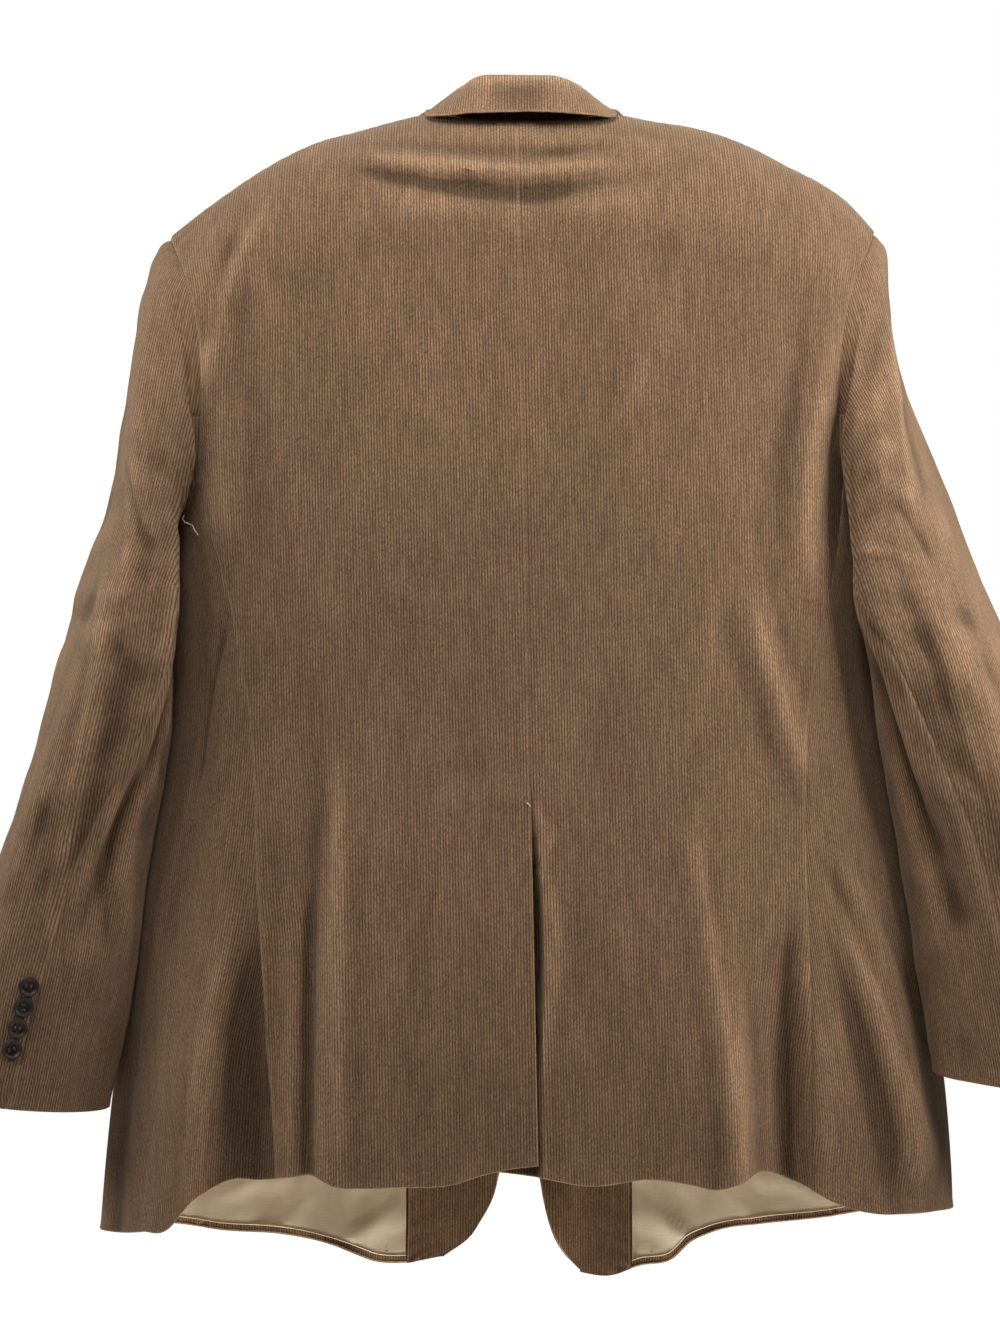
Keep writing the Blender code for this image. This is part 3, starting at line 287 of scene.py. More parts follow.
# One row for each ring of a sleeve, from the armhole to the cuff. A ring joins its outermost and
# innermost points; depth is its half depth, back_shift moves it back, and skew slides its back
# towards the body (negative) or away from it
Ring = namedtuple("Ring", "outer outer_drop inner inner_drop depth back_shift skew hind fore")
SLEEVE_RINGS = {
    "left": (
        Ring(0.2735, 0.0980, 0.2630, 0.3275, 0.080, 0.000, 0.00, 104, 236),
        Ring(0.2868, 0.1400, 0.2640, 0.3300, 0.083, 0.000, -0.05, 118, 235),
        Ring(0.3020, 0.2270, 0.2650, 0.3360, 0.085, 0.000, -0.10, 130, 234),
        Ring(0.3190, 0.2960, 0.2610, 0.3480, 0.085, 0.004, -0.22, 134, 233),
        Ring(0.3385, 0.3590, 0.2570, 0.3740, 0.083, 0.011, -0.26, 131, 232),
        Ring(0.3448, 0.4010, 0.2570, 0.4080, 0.079, 0.018, -0.22, 123, 232),
        Ring(0.3625, 0.4740, 0.2560, 0.4700, 0.068, 0.026, -0.10, 112, 233),
        Ring(0.3825, 0.5540, 0.2690, 0.5420, 0.056, 0.034, 0.10, 106, 235),
        Ring(0.4090, 0.6390, 0.2810, 0.6280, 0.045, 0.042, 0.15, 98, 238),
        Ring(0.4315, 0.7240, 0.3010, 0.7360, 0.036, 0.048, 0.05, 88, 240),
    ),
    "right": (
        Ring(0.2725, 0.0945, 0.2630, 0.3275, 0.080, 0.000, 0.00, 104, 236),
        Ring(0.2780, 0.1300, 0.2640, 0.3300, 0.083, 0.000, -0.06, 114, 235),
        Ring(0.2955, 0.2050, 0.2630, 0.3350, 0.086, 0.001, -0.14, 126, 234),
        Ring(0.3240, 0.2655, 0.2560, 0.3460, 0.085, 0.004, -0.28, 128, 233),
        Ring(0.3520, 0.3490, 0.2500, 0.3740, 0.080, 0.012, -0.34, 116, 232),
        Ring(0.3720, 0.4100, 0.2560, 0.4160, 0.072, 0.022, -0.26, 108, 232),
        Ring(0.3945, 0.4900, 0.2650, 0.4870, 0.062, 0.034, -0.14, 104, 233),
        Ring(0.4110, 0.5600, 0.2760, 0.5480, 0.053, 0.044, 0.08, 106, 235),
        Ring(0.4280, 0.6480, 0.2875, 0.6310, 0.044, 0.052, 0.22, 105, 238),
        Ring(0.4430, 0.7270, 0.3000, 0.7100, 0.036, 0.056, 0.10, 100, 240),
    ),
}
ARMHOLE_HIND = 98         # degrees of the two sleeve seams at the armhole
ARMHOLE_FORE = 238
RING_SPACING = 1.15       # closer rows at the top of a sleeve
SLEEVE_SEAM_TURN = -0.3   # degrees by which the two parts of a sleeve pass their seams
SLEEVE_SEAM_KNOT = -0.01  # the same at the armhole, in knots
SLEEVE_INSET = 0.0006     # the sleeve starts this far inside the edge of the armhole
SLEEVE_STANDOFF = -0.0030  # and this far under it
SLEEVE_THINNEST = 0.004   # least half width of a ring
FIRST_RING_REACH = 0.0080  # from the armhole seam out to the first ring
FIRST_RING_DROP = 0.0095
CUFF_DROOP = 0.005        # how much lower the back of a cuff is

# Folds of the sleeves: ring positions and angles of their ends, their reach, and their height
SleeveFold = namedtuple("SleeveFold", "side top top_angle foot foot_angle reach_up reach_down height")
SLEEVE_FOLDS = (
    SleeveFold("left", 3.6, 62, 9.6, 66, 34, 40, 0.0065),
    SleeveFold("left", 5.4, 150, 9.0, 118, 16, 16, -0.0080),
    SleeveFold("left", 5.0, 300, 9.0, 300, 30, 30, 0.0050),
    SleeveFold("right", 1.8, 62, 4.6, 64, 26, 40, 0.0075),
    SleeveFold("right", 4.6, 66, 9.0, 78, 30, 20, 0.0070),
    SleeveFold("right", 5.4, 142, 9.4, 132, 24, 20, -0.0080),
    SleeveFold("right", 5.0, 300, 9.0, 300, 30, 30, 0.0050),
)
SLEEVE_FOLD_END = 4.0      # the ends over which such a fold fades are a quarter of its length
SLEEVE_CLEARANCE = 0.0012  # between a sleeve and the side of the body it hangs against
SLEEVE_START = 0.0008      # the same where the sleeve leaves the armhole
SLEEVE_SOFTNESS = 0.002    # how gradually the body pushes the sleeve away
SLEEVE_PUSH_START = 0.004  # above the floor of the armhole, where that starts
SLEEVE_PUSH_GROWTH = 0.020  # below the floor, where the clearance is full
WALL_REACH = 0.97          # share of the body's depth up to which its side is a wall

# The collar by its angle round the neck from centre back: its fold and its free edge. Across is
# towards the collar's own side, back is +Y, up is +Z
Collar = namedtuple("Collar", "angle fold_x fold_y fold_z edge_x edge_y edge_z")
COLLAR = (
    Collar(0, 0.0000, 0.0610, 0.0235, 0.0000, 0.0860, -0.0068),
    Collar(30, 0.0290, 0.0550, 0.0235, 0.0360, 0.0835, -0.0074),
    Collar(60, 0.0470, 0.0330, 0.0190, 0.0665, 0.0600, -0.0050),
    Collar(90, 0.0540, 0.0000, 0.0145, 0.0705, 0.0100, 0.0072),
    Collar(120, 0.0575, -0.0350, 0.0020, 0.0965, -0.0465, -0.0085),
    Collar(150, 0.0593, -0.0690, -0.0285, 0.1095, -0.0790, -0.0440),
    Collar(172, 0.0562, -0.0985, -0.0645, 0.1045, -0.1030, -0.0862),
)
COLLAR_END = 172
COLLAR_INSET = 0.0069     # from the neck edge to the face of the stand
COLLAR_RISE = 0.0014      # from the neck edge up to the foot of the stand
COLLAR_TURN = 0.0075      # between the stand and the fall, at the fold
COLLAR_TURN_SHARE = 0.12  # of the rows, to each side of the fold
COLLAR_CLEARANCE = 0.0032  # from the body to the outside of the fall
GORGE_DROP = 0.0672       # where the roll line passes from the collar to the lapel
GORGE_SPACING = 1.6

# The lapel: its free edge and its roll line, from the gorge to its lower end
Lapel = namedtuple("Lapel", "along edge edge_drop roll_drop")
LAPEL = (
    Lapel(0.00, 0.1310, 0.1035, 0.0725),
    Lapel(0.12, 0.1330, 0.1290, 0.0960),
    Lapel(0.35, 0.1160, 0.1980, 0.1700),
    Lapel(0.60, 0.0790, 0.2800, 0.2550),
    Lapel(0.85, 0.0300, 0.3620, 0.3450),
    Lapel(1.00, 0.0045, 0.4030, 0.3880),
)

# Creases of the body, finer than its folds. A crease runs from one point to another: their distance
# along the cloth from centre back (left is positive) and their drops. It bows out by bow half way,
# reaches a distance to each side of its line, and stands out by height
Crease = namedtuple("Crease", "from_s from_drop to_s to_drop bow minus plus height")
CREASES = (
    Crease(-0.028, 0.048, -0.125, 0.033, -0.002, 0.005, 0.005, 0.0020),
    Crease(-0.010, 0.046, -0.085, 0.030, -0.002, 0.005, 0.005, -0.0016),
    Crease(0.120, 0.038, 0.070, 0.052, -0.002, 0.006, 0.006, 0.0012),
    Crease(0.184, 0.069, 0.230, 0.219, -0.010, 0.016, 0.012, 0.0026),
    Crease(0.214, 0.092, 0.230, 0.190, 0.000, 0.014, 0.012, -0.0013),
    Crease(0.146, 0.072, 0.145, 0.311, 0.000, 0.004, 0.004, -0.0005),
    Crease(-0.123, 0.113, -0.044, 0.333, -0.006, 0.006, 0.010, 0.0010),
    Crease(-0.085, 0.153, -0.049, 0.298, 0.000, 0.029, 0.029, -0.0008),
    Crease(0.134, 0.467, 0.131, 0.808, 0.000, 0.005, 0.022, 0.0028),
    Crease(0.151, 0.570, 0.151, 0.808, 0.000, 0.013, 0.012, -0.0032),
    Crease(0.194, 0.491, 0.187, 0.741, 0.004, 0.010, 0.016, 0.0022),
    Crease(-0.120, 0.506, -0.157, 0.808, 0.003, 0.019, 0.006, 0.0026),
    Crease(-0.194, 0.585, -0.197, 0.809, 0.000, 0.019, 0.010, -0.0034),
    Crease(-0.217, 0.542, -0.292, 0.730, 0.004, 0.010, 0.010, -0.0022),
    Crease(-0.230, 0.542, -0.312, 0.724, 0.004, 0.007, 0.009, 0.0012),
    Crease(-0.149, 0.225, -0.205, 0.491, 0.004, 0.006, 0.006, -0.0009),
    Crease(-0.164, 0.340, -0.196, 0.441, 0.000, 0.010, 0.006, -0.0009),
    Crease(0.215, 0.368, 0.243, 0.513, -0.004, 0.009, 0.007, -0.0022),
    Crease(0.200, 0.397, 0.227, 0.513, -0.004, 0.010, 0.010, 0.0014),
    Crease(0.161, 0.115, 0.123, 0.312, 0.000, 0.043, 0.043, -0.0008),
    Crease(0.132, 0.038, 0.010, 0.061, -0.006, 0.008, 0.010, 0.0024),
    Crease(0.124, 0.050, 0.016, 0.078, -0.006, 0.009, 0.012, -0.0026),
    Crease(-0.046, 0.030, -0.112, 0.034, -0.002, 0.007, 0.008, 0.0020),
    Crease(-0.026, 0.050, -0.104, 0.040, -0.003, 0.007, 0.010, -0.0022),
    Crease(0.102, 0.341, 0.037, 0.442, 0.000, 0.050, 0.050, 0.0009),
    Crease(-0.070, 0.384, -0.027, 0.485, 0.000, 0.043, 0.043, 0.0009),
    Crease(0.066, 0.492, -0.006, 0.485, -0.003, 0.010, 0.012, -0.0008),
    Crease(0.073, 0.513, -0.009, 0.510, -0.003, 0.009, 0.010, 0.0008),
    Crease(0.200, 0.281, 0.190, 0.339, 0.000, 0.006, 0.006, -0.0007),
    Crease(-0.136, 0.369, -0.128, 0.484, 0.000, 0.009, 0.009, 0.0007),
    Crease(-0.027, 0.154, 0.012, 0.167, 0.000, 0.004, 0.006, -0.0005),
    Crease(0.019, 0.085, 0.001, 0.088, 0.000, 0.004, 0.004, -0.0004),
    Crease(0.017, 0.117, -0.000, 0.120, 0.000, 0.004, 0.004, -0.0004),
    Crease(0.019, 0.154, 0.001, 0.157, 0.000, 0.004, 0.004, -0.0004),
    Crease(0.018, 0.215, -0.001, 0.217, 0.000, 0.004, 0.004, -0.0004),
    Crease(0.016, 0.262, -0.001, 0.266, 0.000, 0.004, 0.004, -0.0004),
    Crease(0.048, 0.627, 0.044, 0.761, 0.000, 0.009, 0.009, -0.0007),
    Crease(-0.070, 0.584, -0.084, 0.768, 0.000, 0.016, 0.016, 0.0008),
    Crease(0.059, 0.549, 0.065, 0.712, 0.000, 0.022, 0.022, 0.0008),
)
CREASE_STRENGTH = 1.20
CREASE_END = 5.0          # the ends over which a crease fades are a fifth of its length

# Slow unevenness of the cloth: wavelength and height of each layer
Wave = namedtuple("Wave", "length height seed")
BODY_WAVES = (
    Wave(0.110, 0.00070, 3),
    Wave(0.045, 0.00028, 5),
    Wave(0.018, 0.00010, 8),
)
SLEEVE_WAVES = (
    Wave(0.090, 0.00090, 13),
    Wave(0.040, 0.00035, 15),
    Wave(0.018, 0.00010, 18),
)
LINING_WAVES = (
    Wave(0.034, 0.00150, 23),
    Wave(0.015, 0.00045, 25),
)
LINING_LEAN = np.array([[0.45, 0.0, 0.55], [0.0, 0.4, 0.0], [0.0, 0.0, 1.0]])   # they run aslant
LINING_SLACK = 0.4        # of the first wave's height, up to which the slack stays off the cloth
WAVES_IN_LAYER = 14
WAVE_STRETCH = np.array([1.0, 1.0, 0.35])   # they are drawn out downwards

# Creases of the sleeves: ring and angle of their ends, reach in degrees, and height
SleeveCrease = namedtuple("SleeveCrease", "side ring angle to_ring to_angle minus plus height")
SLEEVE_CREASES = (
    SleeveCrease("left", 5.15, 56, 8.45, 98, 0.012, 0.016, 0.0030),
    SleeveCrease("left", 7.75, 90, 8.95, 96, 0.008, 0.010, 0.0020),
    SleeveCrease("left", 7.45, 68, 8.30, 72, 0.010, 0.012, -0.0020),
    SleeveCrease("left", 6.90, 118, 9.10, 140, 0.010, 0.012, -0.0032),
    SleeveCrease("left", 6.45, 122, 9.35, 162, 0.008, 0.007, 0.0022),
    SleeveCrease("left", 3.55, 50, 5.10, 80, 0.016, 0.016, 0.0012),
    SleeveCrease("left", 7.00, 146, 7.45, 160, 0.006, 0.008, -0.0014),
    SleeveCrease("left", 7.20, 148, 7.70, 164, 0.006, 0.008, 0.0012),
    SleeveCrease("left", 5.90, 74, 6.55, 120, 0.010, 0.010, -0.0014),
    SleeveCrease("left", 3.10, 34, 4.35, 94, 0.014, 0.018, -0.0012),
    SleeveCrease("right", 2.05, 72, 3.90, 84, 0.012, 0.014, 0.0026),
    SleeveCrease("right", 3.90, 82, 4.80, 52, 0.008, 0.009, -0.0026),
    SleeveCrease("right", 4.30, 112, 4.80, 68, 0.008, 0.009, 0.0020),
    SleeveCrease("right", 5.55, 80, 7.35, 88, 0.010, 0.013, 0.0028),
    SleeveCrease("right", 4.50, 130, 7.40, 118, 0.010, 0.012, 0.0022),
    SleeveCrease("right", 4.45, 130, 8.20, 140, 0.010, 0.008, -0.0030),
    SleeveCrease("right", 7.20, 162, 7.65, 168, 0.007, 0.007, -0.0012),
    SleeveCrease("right", 5.70, 102, 6.95, 100, 0.009, 0.009, -0.0018),
    SleeveCrease("right", 4.95, 126, 5.95, 108, 0.007, 0.008, -0.0014),
    SleeveCrease("right", 2.60, 98, 4.00, 112, 0.010, 0.012, -0.0014),
)

# Creases of the front, by their distance from the middle of the chest
FRONT_CREASES = (
    Crease(0.020, 0.490, 0.120, 0.380, 0.006, 0.010, 0.014, 0.0016),
    Crease(-0.030, 0.490, -0.130, 0.385, -0.006, 0.010, 0.014, 0.0015),
    Crease(0.030, 0.505, 0.150, 0.520, 0.004, 0.010, 0.012, -0.0014),
    Crease(-0.030, 0.505, -0.150, 0.515, 0.004, 0.010, 0.012, -0.0014),
    Crease(0.080, 0.600, 0.105, 0.850, 0.004, 0.020, 0.012, 0.0022),
    Crease(-0.085, 0.600, -0.100, 0.850, 0.004, 0.012, 0.020, 0.0020),
    Crease(0.150, 0.560, 0.185, 0.830, 0.003, 0.014, 0.014, -0.0024),
    Crease(-0.150, 0.580, -0.190, 0.820, 0.003, 0.014, 0.014, -0.0022),
    Crease(0.190, 0.090, 0.215, 0.240, 0.006, 0.014, 0.014, 0.0022),
    Crease(-0.190, 0.095, -0.220, 0.230, 0.006, 0.014, 0.014, 0.0020),
    Crease(0.145, 0.240, 0.175, 0.330, 0.000, 0.020, 0.020, -0.0012),
    Crease(-0.150, 0.250, -0.180, 0.340, 0.000, 0.020, 0.020, -0.0012),
)
COLLAR_WAVES = (Wave(0.060, 0.00050, 33), Wave(0.022, 0.00018, 35))
COLLAR_WAVE_START = 0.3   # share of the rows over which they grow
SLEEVE_RADIUS = 0.075     # of the round that a sleeve's unevenness is laid on

# How far the back of a sleeve hangs over towards the body, by the number of the ring
Overhang = namedtuple("Overhang", "ring left right")
OVERHANGS = (
    Overhang(0.0, 0.000, 0.000),
    Overhang(1.0, 0.025, 0.029),
    Overhang(2.0, 0.023, 0.027),
    Overhang(3.0, 0.017, 0.024),
    Overhang(4.0, 0.013, 0.016),
    Overhang(5.0, 0.012, 0.011),
    Overhang(6.0, 0.011, 0.009),
    Overhang(7.0, 0.006, 0.005),
    Overhang(8.5, 0.000, 0.000),
)
OVERHANG_START = 32       # degrees round the sleeve where it starts and where it is full,
OVERHANG_FULL = 70
OVERHANG_STEP = 9         # and how much later both lie with each ring
OVERHANG_TURN = 112       # beyond this it fades, over that many degrees
OVERHANG_INNER = 48
OVERHANG_RISE = 0.010     # how far it stands out at the back where it is this much
OVERHANG_MOST = 0.027

BODY_FLATNESS = 0.37      # depth of the body as a part of its half width, for lengths round it

# Mesh and small relief of the cloth
SPACING_STEPS = 241
SPACING_LINES = (0.0, 0.25, 0.5, 0.75, 1.0)
EDGE_MARKS = (0.0, 0.0008, 0.0016, 0.0026, 0.0040, 0.0065)
NEAR_EDGE = 0.05          # farthest distance to an edge that is kept for the wear
KIND_CHANGE = 0.012       # drop over which a seam turns into a free edge
SEAM_DIP = 0.0009
SEAM_REACH = 0.0020
PUCKER_HEIGHT = 0.00070   # puckers next to a seam: their height, length and reach,
PUCKER_LENGTH = 0.013
PUCKER_REACH = 0.020
PUCKER_DRIFT = 0.6        # how far their beat wanders, over this length, and the length over which
PUCKER_DRIFT_LENGTH = 0.031
PUCKER_CHANGE = 0.047     # they grow and fade
EDGE_ROUND = 0.0011
EDGE_SWELL = 0.0005
EDGE_SWELL_REACH = 0.006
GRAIN_TOP = 0.10          # above this the wales follow the form itself
GRAIN_CHANGE = 0.08
SLEEVE_GRAIN = 0.045      # a sleeve's wales count from its outermost line: to this far behind it
SLEEVE_TURN = 0.030       # by the distance back, and from this far on by the distance across
SOFTENING = 18            # how much the cloth next to an armhole is smoothed
SOFT_START = 0.05         # parts of the sleeve's length where that is full and where it ends
SOFT_STOP = 0.34
SOFT_SIDES = 0.07         # the same from a seam, as a part of the width
SOFT_TOP = 0.54           # its middle column, which runs over the top and keeps its form
SOFT_MIDDLE = 0.14        # how far from that column it is full
INNER_SOFTNESS = 5        # how much smoother the inner layer is
CREST_REACH = 14          # steps over which the cloth round a point is averaged
CREST_EDGE = 6            # rows at an edge that take over the values of those inside them
CREST_FINISH = 2
HEM_TURN = 0.030          # corduroy turned up inside a hem
LINING_EASE = 0.0003
ARC_STEPS = 721
KNOT_STEPS = 6            # steps between two knots of the armhole
DEGREE_LENGTH = 0.0010    # length on a sleeve of one degree, and of one ring
RING_LENGTH = 0.072
BUTTON_EDGE = 35          # degrees up to which a button's edge is shaded smooth
BUTTON_SECTION = (        # half section, by radius and height: a rounded rim round a shallow dish
    (0.90, 0.00), (0.97, 0.10), (1.00, 0.38), (0.985, 0.70), (0.93, 0.93), (0.86, 1.00),
    (0.78, 0.95), (0.70, 0.78), (0.58, 0.66), (0.40, 0.62), (0.20, 0.60))
BUTTON_HOLE = 0.13        # radius of a hole, and its distance from the middle both ways,
BUTTON_HOLE_SPREAD = 0.25  # as parts of the button's radius
BUTTON_HOLE_SEGMENTS = 14
THREAD_RADIUS = 0.00032
THREAD_SHIFT = 0.35       # of a hole's radius, between the middle and each thread of a bar
THREAD_FOOT = 0.30        # height of a bar's ends, and how much higher its middle is,
THREAD_ARCH = 0.62        # as parts of the button's height
THREAD_POINTS = 9
FRONT_SPIN = 0.1
BUTTON_SEED = 4
BUTTONHOLE_POINTS = 25
BUTTONHOLE_MIDDLE = -0.0062   # from the middle of the chest, to the right
BUTTONHOLE_HALF = 0.0115
BUTTONHOLE_WIDTH = 0.0011
BUTTONHOLE_CORD = 0.0006
TACK_SHARE = 0.006        # half a tack's length, as a part of the lining's width
TACK_LIFT = 0.0012
TACK_POINTS = 5
LINING_TACKS = ((0.93, 0.975), (0.80, 0.972))   # where they are, across and down the lining

# Threads on the back: name, side, knots (across, drop, lift), and radius
THREAD_STEPS = 6          # points of the tube for each knot
THREADS = (
    ("vent_tack", "right", ((0.0035, 0.5150, 0.0006), (0.0064, 0.5178, 0.0006)), 0.0004),
    ("loose_thread", "left", (
        (0.2356, 0.3190, 0.002), (0.2381, 0.3160, 0.006), (0.2401, 0.3120, 0.008),
        (0.2431, 0.3105, 0.009), (0.2461, 0.3095, 0.011), (0.2476, 0.3065, 0.012),
        (0.2461, 0.3040, 0.010)), 0.0005),
)

# Finishes. Tones are factors of a colour, and ranges run from the low to the high end of a mask
# the grooves are darker than the wales: partly the bare ground of the cloth, partly painted shade in the
# grooves
GROOVE_TONE = (0.40, 0.36, 0.34)   # between the wales
WALE_TONE = (1.42, 1.44, 1.44)
RUBBED_TONE = (1.30, 1.35, 1.40)   # on a wale that is rubbed bare
RUBBED_GROOVE = 1.1
RUBBED_WALE = 1.25
NAP_RANGE = (0.92, 1.07)
STREAK_RANGE = (0.85, 1.15)
FLECK_RANGE = (0.66, 1.34)
# Folds: their crests are paler, partly rubbed pile and partly painted highlight, and their hollows are
# darkened with painted shade
FOLD_RUB_AND_HIGHLIGHT = 0.70          # how much of the tone of crests and of hollows the folds take
FOLD_PAINTED_SHADE = 0.80
CREST_RUB_AND_HIGHLIGHT = 1.6
HOLLOW_PAINTED_SHADE = 0.35
SEAM_LINE_TONE = 2.0
COLLAR_PAINTED_LIGHT = 1.12        # the collar's paler tone is painted light on its upturned fall, and it is more worn
COLLAR_WEAR = 1.6
LINING_RANGE = (0.86, 1.08)
SLUB_RANGE = (0.86, 1.12)

# Stage: each lamp's share of the key light, width, spread in degrees, place and aim
FLOOR_HEIGHT = -1.35
FLOOR_RADIUS = 9.0
FLOOR_SEGMENTS = 96
FLOOR_GLOW = 1.16         # the floor's own light, which only the camera sees
LIGHTS = (
    ("key", 0.152, 0.7, 75, (0.10, 0.70, 0.55), (0.0, 0.06, 0.02)),
    ("left_side", 0.86, 0.9, 150, (1.75, 0.36, 0.30), (0.28, 0.0, -0.40)),
    ("right_side", 1.26, 0.9, 150, (-1.75, 0.44, 0.40), (-0.28, 0.0, -0.35)),
    ("right_fill", 0.090, 0.5, 40, (-1.30, 1.00, 0.45), (-0.40, 0.0, -0.36)),
    ("left_fill", 0.028, 0.5, 40, (1.30, 1.00, 0.45), (0.40, 0.0, -0.40)),
    ("under", 0.170, 0.36, 180, (0.0, -0.02, -1.28), (0.0, -0.10, -0.80)),
    ("front_key", 1.00, 1.4, 180, (0.30, -1.6, 1.1), (0.0, 0.0, -0.30)),
)
WORLD_LIGHT = 0.035
CAMERA_PLACE = (0.01575, 2.4, -0.55)
CAMERA_TILT = 93.305
CAMERA_LENS = 86.57
CAMERA_SENSOR = 36.0
CAMERA_REACH = 60.0


def smooth_curve(rows, key, value):
    """A function that runs smoothly through one column of a table."""
    knots = np.array([getattr(row, key) for row in rows], dtype=float)
    heights = np.array([getattr(row, value) for row in rows], dtype=float)
    slopes = np.gradient(heights, knots)

    def at(place):
        place = np.clip(place, knots[0], knots[-1])
        low = np.clip(np.searchsorted(knots, place, side="right") - 1, 0, len(knots) - 2)
        span = knots[low + 1] - knots[low]
        part = (place - knots[low]) / span
        rest = 1.0 - part
        return (
            heights[low] * (1 + 2 * part) * rest**2
            + heights[low + 1] * (3 - 2 * part) * part**2
            + span * part * rest * (slopes[low] * rest - slopes[low + 1] * part)
        )

    return at


def ease(place):
    """0 below 0, 1 above 1, smooth between."""
    place = np.clip(place, 0.0, 1.0)
    return place * place * (3 - 2 * place)


def bump(place):
    """1 at 0, falling smoothly to 0 at -1 and 1."""
    return 0.5 + 0.5 * np.cos(np.pi * np.clip(place, -1.0, 1.0))


def unit(vectors):
    """Vectors of the same ways, 1 long."""
    return vectors / np.maximum(np.linalg.norm(vectors, axis=-1, keepdims=True), 1e-12)


SIDES = ("left", "right")
SIGN = {"left": 1.0, "right": -1.0}
HALF = {side: smooth_curve(LEVELS, "drop", side + "_half") for side in SIDES}
BACK_DEPTH = smooth_curve(LEVELS, "drop", "back")
FRONT_DEPTH = smooth_curve(LEVELS, "drop", "front")
SHOULDER = {side: smooth_curve(SHOULDER_LINE, "across", side) for side in SIDES}
BACK_ARMHOLE = smooth_curve(ARMHOLE, "drop", "back")
FRONT_ARMHOLE = smooth_curve(ARMHOLE, "drop", "front")
BACK_SEAM = {side: smooth_curve(SIDE_SEAMS, "drop", "back_" + side) for side in SIDES}
FRONT_SEAM = smooth_curve(SIDE_SEAMS, "drop", "front")
FRONT_EDGE = {side: smooth_curve(FRONT_EDGES, "drop", side) for side in SIDES}
HEM_DROP = {side: smooth_curve(HEM, "angle", side) for side in SIDES}


def back_edge(side, drop):
    """Outer edge of the back: the armhole, and below it the side seam."""
    return np.where(drop < ARMHOLE_CORNER, BACK_ARMHOLE(drop), BACK_SEAM[side](drop))


def front_side_edge(drop):
    """Outer edge of the front: the armhole, and below it the side seam."""
    return np.where(drop < ARMHOLE_CORNER, FRONT_ARMHOLE(drop), FRONT_SEAM(drop))


def angle_at(side, across, drop):
    """Angle round the body of a point of the back at a distance from the middle."""
    share = np.clip(np.abs(across) / HALF[side](drop), 0, 1)
    return np.sign(across) * np.degrees(np.arcsin(share ** (SECTION_POWER / 2)))


def fold_height(side, angle, drop):
    """How far the folds move the body's cloth out at an angle and a drop."""
    total = np.zeros(np.broadcast(angle, drop).shape)
    for fold in FOLDS:
        if fold.side != side:
            continue
        along = (drop - fold.top_drop) / (fold.foot_drop - fold.top_drop)
        off = angle - (fold.top + (fold.foot - fold.top) * np.clip(along, 0, 1))
        reach = np.where(off < 0, fold.to_back, fold.to_front)
        ends_above_hem = fold.foot_drop < HEM_FOLD_DROP
        fade = ease(along * FOLD_START) * (1 - ease((along - 1.0) * FOLD_END) * ends_above_hem)
        total = total + fold.height * fade * bump(off / reach)
    return total


def signed_power(value, power):
    """A power that keeps the sign of its value."""
    return np.sign(value) * np.abs(value) ** power


def arc_table():
    """Angle round the body and the cloth's length from centre back, for a body of half width 1."""
    angles = np.linspace(0.0, 180.0, ARC_STEPS)
    turn = np.radians(angles)
    across = signed_power(np.sin(turn), 2 / SECTION_POWER)
    back = BODY_FLATNESS * signed_power(np.cos(turn), 2 / SECTION_POWER)
    return angles, np.concatenate([[0.0], np.cumsum(np.hypot(np.diff(across), np.diff(back)))])


ARC_ANGLES, ARC_LENGTHS = arc_table()


def waves(points, layers):
    """Slow, seeded unevenness of the cloth at points in space."""
    total = np.zeros(points.shape[:-1])
    for layer in layers:
        source = np.random.default_rng(layer.seed)
        ways = unit(source.normal(size=(WAVES_IN_LAYER, 3))) * (2 * math.pi / layer.length)
        starts = source.uniform(0, 2 * math.pi, WAVES_IN_LAYER)
        for way, start in zip(ways, starts):
            total = total + np.sin(points @ way + start) * layer.height / math.sqrt(WAVES_IN_LAYER / 2)
    return total


def crease_height(creases, s, drop):
    """How far creases move the cloth out at a distance along it and a drop."""
    total = np.zeros(np.broadcast(s, drop).shape)
    for crease in creases:
        run_s, run_drop = crease.to_s - crease.from_s, crease.to_drop - crease.from_drop
        length = math.hypot(run_s, run_drop)
        gone_s, gone_drop = s - crease.from_s, drop - crease.from_drop
        along = (gone_s * run_s + gone_drop * run_drop) / length**2
        off = (gone_drop * run_s - gone_s * run_drop) / length - crease.bow * bump(2 * along - 1)
        reach = np.where(off < 0, crease.minus, crease.plus)
        fade = ease(along * CREASE_END) * ease((1 - along) * CREASE_END)
        total = total + crease.height * fade * (1 - np.clip(np.abs(off) / reach, 0, 1)) ** 2
    return total


def arc_length(side, angle, drop):
    """Length along the cloth from centre back to an angle."""
    return HALF[side](drop) * np.sign(angle) * np.interp(np.abs(angle), ARC_ANGLES, ARC_LENGTHS)


def fine_relief(side, angle, drop, across, back):
    """Creases and unevenness of the body's cloth."""
    total = crease_height(CREASES, SIGN[side] * arc_length(side, angle, drop), drop)
    before = arc_length(side, 180 - angle, drop)
    total = total + crease_height(FRONT_CREASES, SIGN[side] * before, drop)
    return CREASE_STRENGTH * total + waves(place(side, across, back, drop) * WAVE_STRETCH, BODY_WAVES)


